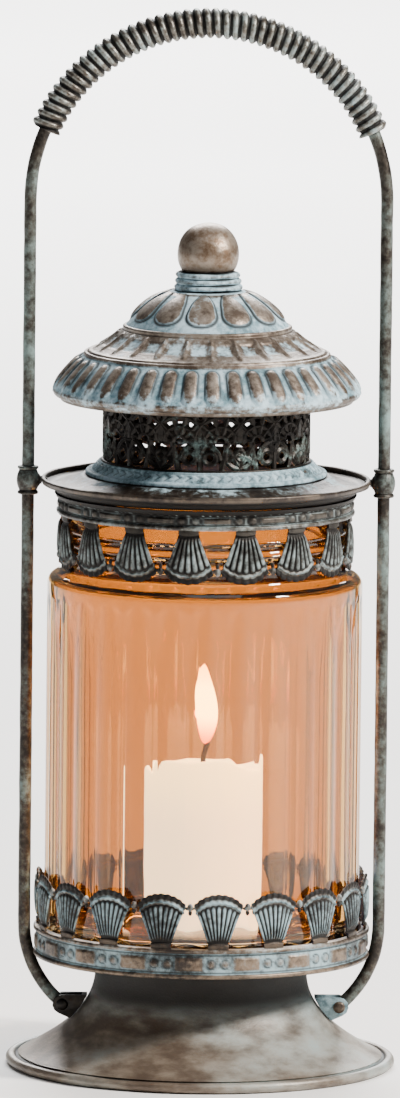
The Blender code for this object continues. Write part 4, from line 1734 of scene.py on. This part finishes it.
@dataclass(frozen=True)
class VentRing:
    """The moulded ring round the vent: a roped band between two plain steps."""

    strands: int = 66
    segments: int = 528

    def build(self, finishes: Finishes) -> None:
        """Builds the ring.

        Args:
            finishes: The lantern's finishes.
        """
        span = Span.of("vent_ring")
        inner = Span.of("vent_collar").radius + GAP
        outer, low, high = span.radius, span.bottom, span.top
        outline = [point(inner, low, INSIDE), point(outer, low, CREASE), point(outer, low + 0.6, (0.9, 0.0))]
        outline += arc((outer - 0.9, low + 0.9), 0.9, 10, 100, 4, (0.9, 0.0))
        outline += [point(outer - 1.9, low + 1.5, (0.8, 0.5))]
        outline += bowed((outer - 2.0, low + 1.6), (inner + 1.3, high - 0.9), 0.5, 14, (0.8, 0.1))
        outline += arc((inner + 0.7, high - 0.7), 0.7, 40, 180, 7, (0.9, 0.0))
        bm = spun(outline, self.segments)
        rope = (low + 1.8, high - 0.9)

        def strand_at(spot: Spot) -> tuple[float, Tone] | None:
            """The rope at a spot.

            Args:
                spot: The spot.

            Returns:
                Its height and tone, or None beside the rope.
            """
            if not rope[0] < spot.level < rope[1] or spot.outward < 0.1:
                return None
            up = (spot.level - rope[0]) / (rope[1] - rope[0])
            fade = smooth(math.sin(math.pi * up) * 2.5)
            lean = 1.6 * abs(2 * up - 1)
            strand = abs(math.sin(math.radians(spot.angle) * self.strands / 2 + lean)) ** 0.7
            notch = (1 - strand) * fade
            return 0.7 * strand * fade, (0.8, 0.7 * notch)

        emboss(bm, strand_at)
        finish_piece(bm, Fit("roped_ring", Body.COVER, Slot.VERDIGRIS, ("vent_ring",)), finishes.roof)


@dataclass(frozen=True)
class Filigree:
    """The vent's collar: bowls, rings, forked stems and petal fans of cast iron between two borders."""

    units: int = 8
    strand: float = 1.25  # radius of a strand
    border: float = 6.0  # height of the lower border
    top_border: float = 6.0
    border_sheet: float = 0.8
    bead: float = 0.6
    phase: float = -3.5
    stem_share: float = 0.34  # height of the stems over the tracery's

    def bow(self, bm: BMesh, centre: tuple[float, float], radius: float, first: float, last: float) -> None:
        """Adds a curved strand to a flat tile.

        Args:
            bm: The tile.
            centre: X and Z of the curve's centre.
            radius: The curve's radius.
            first: Angle of its start, in degrees.
            last: Angle of its end.
        """
        closed = abs(last - first) >= 360
        steps = max(5, int(abs(last - first) / 22))
        count = steps if closed else steps + 1
        angles = [math.radians(first + (last - first) * i / steps) for i in range(count)]
        places = [
            Vector((centre[0] + radius * math.cos(a), 0, centre[1] + radius * math.sin(a))) for a in angles
        ]
        join(bm, tube(places, self.strand, 6, closed))

    def bar(self, bm: BMesh, start: tuple[float, float], end: tuple[float, float]) -> None:
        """Adds a straight strand to a flat tile.

        Args:
            bm: The tile.
            start: X and Z of its start.
            end: X and Z of its end.
        """
        places = [Vector((start[0], 0, start[1])), Vector((end[0], 0, end[1]))]
        join(bm, tube(places, self.strand, 6))

    def stem_tier(self, bm: BMesh, half: float, base: float, tall: float) -> None:
        """A forked stem between two rings under an arch, and half a bowl on each side.

        Args:
            bm: The tile.
            half: Half of its width.
            base: The tier's lowest level.
            tall: The tier's height.
        """
        self.bar(bm, (0, base - 0.5), (0, base + 0.62 * tall))
        self.bow(bm, (0, base + 0.28 * tall), 0.70 * tall, 8, 172)
        for side in (-1, 1):
            self.bar(bm, (0, base + 0.6 * tall), (side * 2.6, base + tall))
            self.bow(bm, (side * 4.0, base + 0.45 * tall), 2.5, 0, 360)
            self.bow(bm, (side * half, base + 0.55 * tall), 5.4, 270, 270 + side * 92)
            self.bow(bm, (side * half, base - 0.1 * tall), 7.4, 90, 90 + side * 52)
            self.bow(bm, (side * half, base + 0.55 * tall), 2.2, 90, 90 + side * 180)
            self.bar(bm, (side * half, base + 0.05 * tall), (side * (half - 6.5), base + 0.95 * tall))
            self.bar(bm, (side * 8.6, base), (side * 11.2, base + tall))
            bead = Vector((side * 10.1, 0, base + 0.45 * tall))
            add_ball(bm, bead, Vector((1.5, 1.0, 1.5)), (0.6, 0.0), 5)

    def fan_tier(self, bm: BMesh, half: float, base: float, tall: float) -> None:
        """Fans of petal-shaped holes: rays between two arcs.

        Args:
            bm: The tile.
            half: Half of its width.
            base: The tier's lowest level.
            tall: The tier's height.
        """
        for centre in (-0.5 * half, 0.5 * half):
            for angle in range(15, 180, 30):
                turn = math.radians(angle)
                way = Vector((math.cos(turn), math.sin(turn)))
                first, last = way * 2.6, way * 0.92 * tall
                self.bar(bm, (centre + first.x, base + first.y), (centre + last.x, base + last.y))
            self.bow(bm, (centre, base), 2.8, 0, 180)
            self.bow(bm, (centre, base), 0.58 * tall, 0, 180)
            self.bow(bm, (centre, base), 0.92 * tall, 0, 180)
        for centre in (-half, 0.0, half):
            reach = (0, 360) if centre == 0 else (90, 90 + math.copysign(180, centre))
            self.bow(bm, (centre, base + 0.86 * tall), 1.9, *reach)
            self.bar(bm, (centre, base), (centre, base + 0.6 * tall))
        self.bar(bm, (-half, base), (half, base))

    def tile(self, pitch: float, low: float, high: float) -> BMesh:
        """One unit of the tracery.

        Args:
            pitch: Its width.
            low: Its lowest level.
            high: Its highest level.

        Returns:
            The tile: stems below and two tiers of fans.
        """
        bm = fresh()
        half = pitch / 2
        stem = self.stem_share * (high - low)
        fan = (high - low - stem) / 2
        self.stem_tier(bm, half, low, stem)
        self.fan_tier(bm, half, low + stem, fan)
        self.fan_tier(bm, half, low + stem + fan, fan)
        for vert in bm.verts:
            behind = smooth((vert.co.y + 0.3) / 0.5)
            low_share = 1 - smooth((vert.co.z - low - stem) / 4)
            salt = (0.35 + 0.35 * low_share) * (1 - behind)
            paint(bm, [vert], (salt, max(0.45 - 0.3 * low_share, behind)))
        return bm

    def border_mesh(self, radius: float, low: float, high: float) -> BMesh:
        """A plain border ring with a bead on each edge.

        Args:
            radius: Its outer radius.
            low: Its lowest level.
            high: Its highest level.

        Returns:
            The ring.
        """
        inner = radius - self.border_sheet
        outline = [point(inner, low, INSIDE)]
        outline += arc((radius, low + self.bead), self.bead, -90, 90, 5, (0.3, 0.2))
        outline += [point(radius - 0.1, low + 1.6, (0.1, 0.8)), point(radius - 0.1, high - 1.6, (0.1, 0.8))]
        outline += arc((radius, high - self.bead), self.bead, -90, 90, 5, (0.3, 0.3))
        outline += [point(inner, high, INSIDE)]
        return spun(outline, 128)

    def build(self, finishes: Finishes) -> None:
        """Builds the collar.

        Args:
            finishes: The lantern's finishes.
        """
        span = Span.of("vent_collar")
        pitch = math.tau * span.radius / self.units
        low, high = span.bottom + self.border, span.top - self.top_border
        tile = self.tile(pitch, low, high)
        bm = wrap_round(tile, self.units, span.radius - self.strand, self.phase)
        join(bm, self.border_mesh(span.radius, span.bottom, low + 0.3))
        join(bm, self.border_mesh(span.radius, high - 0.3, span.top))
        bmesh.ops.recalc_face_normals(bm, faces=bm.faces)
        fit = Fit("filigree_collar", Body.COVER, Slot.DARK, ("vent_collar",))
        finish_piece(bm, fit, finishes.dark)


def lobe_share(
    across: float, along: float, half: float, ends: tuple[float, float], rounds: tuple[float, float]
) -> float:
    """How far inside a lobe with round ends a place lies.

    Args:
        across: Place across it.
        along: Place along it.
        half: Its half width.
        ends: Where its straight stretch starts and ends.
        rounds: Lengths of its round start and end.

    Returns:
        1 on its middle line, 0 on its edge and less than 0 outside it.
    """
    past = max(0.0, (ends[0] - along) / rounds[0], (along - ends[1]) / rounds[1])
    return 1 - math.hypot(across / half, past)


def outlined(share: float, width: float) -> float:
    """1 on a lobe's edge, falling to 0 within a width of it.

    Args:
        share: How far inside the lobe a place lies.
        width: The width, as a share.

    Returns:
        The line's strength.
    """
    return math.exp(-((share / width) ** 2))


@dataclass(frozen=True)
class Skirt:
    """The roof's skirt: a rolled lip, a row of gadroons and a smooth turned-in rim."""

    gadroons: int = 40
    phase: float = 2.3
    raise_by: float = 1.4
    sheet: float = 0.8
    bow: float = 0.7
    rim: float = 3.6
    per_gadroon: int = 12

    def build(self, finishes: Finishes) -> None:
        """Builds the skirt.

        Args:
            finishes: The lantern's finishes.
        """
        span = Span.of("roof_skirt")
        bore = Span.of("vent_collar").radius - 1.6
        crown = Span.of("roof_crown")
        ledge = crown.bottom - GAP
        inside = crown.radius + GAP
        top, radius = span.top - 0.8, span.radius
        shoulder = inside + self.sheet
        rim_level = span.bottom + self.rim
        outline = [point(bore, ledge, INSIDE), point(inside, ledge, INSIDE)]
        outline += [point(inside, top - 0.5, CREASE)]
        outline += arc((shoulder - 0.1, top - 0.75), 0.85, 170, 10, 7, (0.1, 0.0))
        outline += [point(shoulder + 0.9, top - 1.5, (0.7, 0.5))]
        start, end = (shoulder + 1.0, top - 1.7), (radius - 0.3, rim_level + 1.2)
        outline += bowed(start, end, self.bow, 34, (0.9, 0.1))
        outline += arc((radius - 1.9, rim_level), 1.9, 25, -75, 9, (0.45, 0.0))
        outline += [point(radius - 2.6, rim_level - 2.0, (0.4, 0.1))]
        outline += [point(radius - 3.0, span.bottom + 0.3, (0.2, 0.5))]
        outline += [point(radius - 3.7, span.bottom + 1.2, INSIDE)]
        start, end = (radius - 1.9, rim_level + 0.2), (shoulder - 0.2, top - 2.6)
        outline += bowed(start, end, 0.2 - self.bow, 10, INSIDE)
        under = ledge - self.sheet
        outline += [point(shoulder - 0.6, under, INSIDE), point(bore, under, INSIDE)]
        bm = spun(outline, self.gadroons * self.per_gadroon)
        field = (top - 1.6, rim_level - 0.2)

        def gadroon(spot: Spot) -> tuple[float, Tone] | None:
            """The skirt at a spot.

            Args:
                spot: The spot.

            Returns:
                Its height and tone, or None outside the row of gadroons.
            """
            if not field[1] < spot.level < field[0] or spot.outward < 0 or spot.radius < shoulder + 0.5:
                return None
            along = (field[0] - spot.level) / (field[0] - field[1])
            across = spot.across(360 / self.gadroons, self.phase)
            share = lobe_share(across, along, 0.35 - 0.03 * along, (0.19, 0.66), (0.15, 0.26))
            raised = math.sqrt(max(0.0, 1 - (1 - max(0.0, share)) ** 2))
            low_band = smooth((along - 0.86) / 0.08)
            fading = 1 - smooth((along - 0.55) / 0.35)
            # The dark line round each gadroon, strongest at its top, is painted shade along its raised edge.
            line = outlined(share, 0.28) * (0.25 + 0.75 * fading)
            faded = 0.4 * smooth((along - 0.45) / 0.35)
            salt = 0.95 if share < 0 else 0.95 - (0.9 - faded) * smooth(2.6 * share)
            salt *= 1 - 0.45 * low_band
            return self.raise_by * raised + 0.3 * low_band, (salt, 0.75 * line)

        emboss(bm, gadroon)
        fit = Fit("gadrooned_skirt", Body.COVER, Slot.VERDIGRIS, ("roof_skirt",))
        finish_piece(bm, fit, finishes.roof, 60)


@dataclass(frozen=True)
class Crown:
    """The roof's crown: a domed top with petals over a cone with ribs and small panels."""

    petals: int = 12
    phase: float = -5.0
    petal_height: float = 1.3
    rib_height: float = 0.8
    sheet: float = 0.8
    cone_width: float = 14.5
    dome_rise: float = 14.8
    dome_bow: float = 2.0
    segments: int = 480

    def pattern(self, dome: tuple[float, float], cone: tuple[float, float]) -> Pattern:
        """Petals between the dome's levels, and ribs and panels between the cone's levels.

        Args:
            dome: The dome's lowest and highest levels.
            cone: The cone's.

        Returns:
            The pattern.
        """

        def relief(spot: Spot) -> tuple[float, Tone] | None:
            """The crown at a spot.

            Args:
                spot: The spot.

            Returns:
                Its height and tone, or None between the two fields and inside.
            """
            if spot.upward < 0.05:
                return None
            across = spot.across(360 / self.petals, self.phase)
            if dome[0] < spot.level < dome[1]:
                along = (dome[1] - spot.level) / (dome[1] - dome[0])
                share = lobe_share(across, along, 0.36 + 0.14 * along, (0.30, 0.50), (0.30, 0.36))
                raised = math.sqrt(max(0.0, 1 - (1 - max(0.0, share)) ** 2))
                salt = 0.95 if share < 0 else 0.95 * (1 - smooth(4.5 * share)) + 0.15
                salt *= smooth(along / 0.12)
                # The dark line round each petal is painted shade along its raised edge.
                return self.petal_height * raised, (salt, 0.8 * outlined(share, 0.13))
            if cone[0] < spot.level < cone[1]:
                along = (spot.level - cone[0]) / (cone[1] - cone[0])
                half_across = ((across * 2 + 0.5) % 1) - 0.5
                share = 1 - max(abs(half_across) / 0.36, abs(along - 0.5) / 0.3)
                ends = smooth(math.sin(math.pi * along) * 2)
                rib = math.exp(-(((abs(half_across) - 0.5) / 0.07) ** 2)) * ends
                salt = 0.25 + 0.38 * smooth(2.0 * share)
                raised = self.rib_height * rib - 0.5 * smooth(2.5 * share)
                return raised, (salt, 0.4 * outlined(share, 0.2))
            return None

        return relief

    def build(self, finishes: Finishes) -> None:
        """Builds the crown.

        Args:
            finishes: The lantern's finishes.
        """
        span = Span.of("roof_crown")
        collar = Span.of("finial_collar")
        low, high, radius = span.bottom, span.top, span.radius
        dome_radius = radius - self.cone_width
        dome_level = high - self.dome_rise
        top_radius = collar.radius + GAP
        outline = [point(2.4, high, CREASE), point(top_radius - 0.6, high, (0.9, 0.6))]
        outline += bowed(
            (top_radius, high - 0.1), (dome_radius - 0.6, dome_level + 0.9), self.dome_bow, 34, (0.9, 0.1)
        )
        outline += arc((dome_radius - 0.1, dome_level), 1.0, 75, -35, 6, (0.05, 0.0))
        outline += [point(dome_radius + 1.0, dome_level - 1.0, (0.1, 0.6))]
        outline += bowed(
            (dome_radius + 1.4, dome_level - 1.2), (radius - 1.4, low + 2.6), -0.6, 30, (0.2, 0.05)
        )
        outline += arc((radius - 0.9, low + 1.5), 1.3, 75, -60, 7, (0.05, 0.0))
        outline += [point(radius - 1.6, low, CREASE)]
        outline += bowed((radius - 2.4, low + 1.2), (dome_radius + 0.2, dome_level - 1.8), 0.6, 8, INSIDE)
        outline += bowed(
            (dome_radius - 1.2, dome_level - 0.4), (top_radius - 0.4, high - 0.9), -self.dome_bow, 10, INSIDE
        )
        outline += [point(2.4, high - self.sheet, INSIDE)]
        bm = spun(outline, self.segments)
        emboss(bm, self.pattern((dome_level + 1.2, high - 0.4), (low + 2.9, dome_level - 1.2)))
        finish_piece(bm, Fit("petal_crown", Body.COVER, Slot.VERDIGRIS, ("roof_crown",)), finishes.roof, 60)


@dataclass(frozen=True)
class Finial:
    """The ball and the soft ridged collar that it sits in."""

    lump: float = 0.32
    lump_size: float = 9.5
    ridges: int = 3
    bore: float = 2.6

    def build(self, finishes: Finishes) -> None:
        """Builds the ball and its collar.

        Args:
            finishes: The lantern's finishes.
        """
        ball = Span.of("finial_ball")
        radius = ball.radius
        centre = ball.top - radius
        flat = math.degrees(math.asin((ball.bottom - centre) / radius))
        outline = [point(0, ball.bottom, CREASE), *arc((0, centre), radius, flat, 90, 30)]
        outline[-1].x = 0
        # Towards the underside the ball takes more salt and darkens; the darker underside is painted shade.
        for p in outline:
            low = smooth((centre + 1.0 - p.y) / 9.0)
            p.z, p.w = 0.3 * low, 0.55 * low
        bm = roughen(spun(outline, 64), self.lump, self.lump_size)
        fit = Fit("bronze_ball", Body.COVER, Slot.BRONZE, ("finial_ball",))
        finish_piece(bm, fit, finishes.bronze, 60)
        self.build_collar(finishes)

    def build_collar(self, finishes: Finishes) -> None:
        """Builds the collar: three soft ridges that narrow upwards and hold the ball.

        Args:
            finishes: The lantern's finishes.
        """
        span = Span.of("finial_collar")
        rows = 36
        outline = [point(self.bore, span.bottom, INSIDE)]
        for i in range(rows + 1):
            share = i / rows
            ridge = abs(math.sin(math.pi * self.ridges * share)) ** 0.6
            level = span.bottom + (span.top - span.bottom) * share
            tone = (0.95 - 0.35 * ridge, smooth((0.62 - ridge) / 0.4))
            outline.append(point(span.radius - 0.9 * share - 1.4 * (1 - ridge), level, tone))
        outline.append(point(self.bore, span.top, INSIDE))
        bm = roughen(spun(outline, 72), 0.7, 8)
        fit = Fit("ridged_collar", Body.COVER, Slot.VERDIGRIS, ("finial_collar",))
        finish_piece(bm, fit, finishes.roof, 60)


@dataclass(frozen=True)
class Sleeves:
    """The sleeves on the rods, each with a tapered neck to the plate's rim and a rivet through it."""

    bulge: float = 0.9
    slack: float = 0.35  # between the rod and the bore
    pin_rounding: float = 0.15

    def build(self, finishes: Finishes) -> None:
        """Builds both sleeves and their rivets.

        Args:
            finishes: The lantern's finishes.
        """
        plate = Span.of("shoulder_plate")
        for facing, word in ((-1, "left"), (1, "right")):
            self.build_sleeve(facing, word, plate.radius, finishes)
            pin = bevelled_copy(f"sleeve_pin_{word}", self.pin_rounding, PLAIN)
            fit = Fit(f"rim_rivet_{word}", Body.COVER, Slot.BRONZE, (f"sleeve_pin_{word}",))
            finish_piece(pin, fit, finishes.rod)

    def build_sleeve(self, facing: int, word: str, rim: float, finishes: Finishes) -> None:
        """One sleeve: a bulged barrel with rolled ends and its neck.

        Args:
            facing: 1 for +X, -1 for -X.
            word: Its side, left or right.
            rim: Radius of the plate's rim.
            finishes: The lantern's finishes.
        """
        span = Span.of(f"guide_sleeve_{word}")
        outer = (span.high.y - span.low.y) / 2
        away = max(abs(span.low.x), abs(span.high.x)) - outer
        rod = Span.of("bail_rod")
        bore = (rod.high.y - rod.low.y) / 2 + self.slack
        low, high = span.bottom, span.top
        half = (high - low) / 2
        outline = [point(bore, low, INSIDE), *arc((outer - 0.6, low + 0.7), 0.7, -90, 60, 6)]
        outline += [point(outer - 0.55, low + 1.7, CREASE)]
        outline += bowed((outer - 0.4, low + 2.0), (outer - 0.4, high - 2.0), -self.bulge, 12, (0.5, 0.0))
        outline += [point(outer - 0.55, high - 1.7, CREASE)]
        outline += [*arc((outer - 0.6, high - 0.7), 0.7, -60, 90, 6), point(bore, high, INSIDE)]
        bm = spun(outline, 40)
        bmesh.ops.translate(bm, vec=Vector((facing * away, 0, 0)), verts=bm.verts)
        neck_long = away - outer - rim + 0.9
        neck = [point(0, GAP), point(1.6, GAP, CREASE), point(1.7, GAP + 0.5)]
        neck += bowed((1.7, GAP + 0.6), (3.0, neck_long), -0.35, 6)
        neck += [point(0, neck_long)]
        join(bm, lay_along_x(spun(neck, 24), Vector((facing * rim, 0, low + half)), facing))
        fit = Fit(f"rod_sleeve_{word}", Body.COVER, Slot.DARK, (f"guide_sleeve_{word}",))
        finish_piece(bm, fit, finishes.rod)


# ---------------------------------------------------------------- fasteners, stage and light


@dataclass(frozen=True)
class Fasteners:
    """The bolt, stud, washers and nuts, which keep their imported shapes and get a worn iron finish."""

    nodes: tuple[str, ...] = (
        "pan_bolt", "pan_washer", "pan_nut", "finial_stud", "finial_washer", "finial_nut",
    )

    def dress(self, finishes: Finishes) -> None:
        """Gives each of them its finish.

        Args:
            finishes: The lantern's finishes.
        """
        for name in self.nodes:
            held = frame["nodes"][name]
            held.data.materials.clear()
            held.data.materials.append(finishes.dark)
            LOG.info("%s: dressed", name)


@dataclass(frozen=True)
class SoftLight:
    """A square soft light that faces a target. Lengths are in metres and power in watts."""

    name: str
    place: tuple[float, float, float]
    target: tuple[float, float, float]
    size: float
    power: float
    colour: str

    def hang(self) -> None:
        """Hangs the light."""
        light = bpy.data.lights.new(self.name, "AREA")
        light.size = self.size
        light.energy = self.power
        light.color = linear(self.colour)[:3]
        holder = bpy.data.objects.new(self.name, light)
        holder.location = self.place
        way = Vector(self.target) - Vector(self.place)
        holder.rotation_euler = way.to_track_quat("-Z", "Y").to_euler()
        bpy.context.scene.collection.objects.link(holder)


@dataclass(frozen=True)
class Studio:
    """A pale floor, soft light and the camera. Lengths are in metres and angles in degrees."""

    lights: tuple[SoftLight, ...] = (
        SoftLight("key", (1.75, -0.8, 1.65), (0, 0, 0.2), 0.35, 145, "#FFF8F0"),
        SoftLight("sky", (0.2, -0.9, 2.2), (0, 0, 0.2), 1.2, 10, "#F2F7FF"),
        SoftLight("sweep", (0, 4.2, 3.0), (0, 3.0, 0), 3.0, 700, "#FFFFFF"),
    )
    room: str = "#F3F5F8"
    room_strength: float = 0.2
    glow: str = "#FF9A45"
    glow_power: float = 0.18
    glow_radius: float = 0.004
    glow_rise: float = 0.012  # above the wick's tip
    floor_half: float = 30.0
    distance: float = 6.0
    eye_height: float = 0.982
    pitch: float = 7.345
    yaw: float = 0.02
    roll: float = 0.6
    focal_share: float = 13.761  # focal length over the height of the picture
    film: float = 36.0

    def build_floor(self) -> None:
        """Lays the floor."""
        bm = bmesh.new()
        bmesh.ops.create_grid(bm, x_segments=4, y_segments=4, size=self.floor_half)
        mesh = bpy.data.meshes.new("floor")
        bm.to_mesh(mesh)
        bm.free()
        mesh.materials.append(PaleFloor().make())
        floor = bpy.data.objects.new("floor", mesh)
        bpy.context.scene.collection.objects.link(floor)

    def build_glow(self, tip: float) -> None:
        """The flame's warm light in the jar, which moves with the flame.

        Args:
            tip: Level of the wick's tip, in millimetres.
        """
        glow = bpy.data.lights.new("candle_glow", "POINT")
        glow.energy = self.glow_power
        glow.color = linear(self.glow)[:3]
        glow.shadow_soft_size = self.glow_radius
        holder = bpy.data.objects.new("candle_glow", glow)
        holder.location = (0.001, 0, tip * MM + self.glow_rise)
        holder.parent = bpy.data.objects["candle_flame"]
        bpy.context.scene.collection.objects.link(holder)

    def build_world(self) -> None:
        """A pale, even room."""
        world = bpy.data.worlds.new("room")
        world.use_nodes = True
        background = world.node_tree.nodes["Background"]
        background.inputs["Color"].default_value = linear(self.room)
        background.inputs["Strength"].default_value = self.room_strength
        bpy.context.scene.world = world

    def build_camera(self) -> None:
        """Sets the camera at eye height in front of the lantern."""
        camera = bpy.data.cameras.new("camera")
        camera.sensor_fit = "VERTICAL"
        camera.sensor_height = self.film
        camera.sensor_width = self.film
        camera.lens = self.film * self.focal_share
        camera.clip_end = 100
        holder = bpy.data.objects.new("camera", camera)
        holder.location = (0, -self.distance, self.eye_height)
        aim = Euler((math.radians(90 - self.pitch), 0, math.radians(self.yaw))).to_matrix()
        holder.rotation_euler = (aim @ Matrix.Rotation(math.radians(self.roll), 3, "Z")).to_euler()
        bpy.context.scene.collection.objects.link(holder)
        bpy.context.scene.camera = holder

    def build(self) -> None:
        """Builds the stage."""
        self.build_floor()
        self.build_world()
        for light in self.lights:
            light.hang()
        self.build_glow(Span.of("wick").top)
        self.build_camera()


def main() -> None:
    """Builds the lantern's looks and its stage."""
    logging.basicConfig(level=logging.INFO, format="%(name)s: %(message)s")
    finishes = Finishes.make()
    Foot().build(finishes)
    Pan().build(finishes)
    ShellRow("lower_gallery", "lower_shell_row", Body.STAND, 18, 6.0, 12.0, False).build(finishes)
    ShellRow("upper_gallery", "upper_shell_row", Body.COVER, 16, -6.5, 8.0, True, ribs=7).build(finishes)
    Bail().build(finishes)
    Brackets().build(finishes)
    FlutedJar().build()
    Candle().build()
    ShoulderPlate().build(finishes)
    VentRing().build(finishes)
    Filigree().build(finishes)
    Skirt().build(finishes)
    Crown().build(finishes)
    Finial().build(finishes)
    Sleeves().build(finishes)
    Fasteners().dress(finishes)
    Studio().build()


if __name__ == "__main__":
    main()
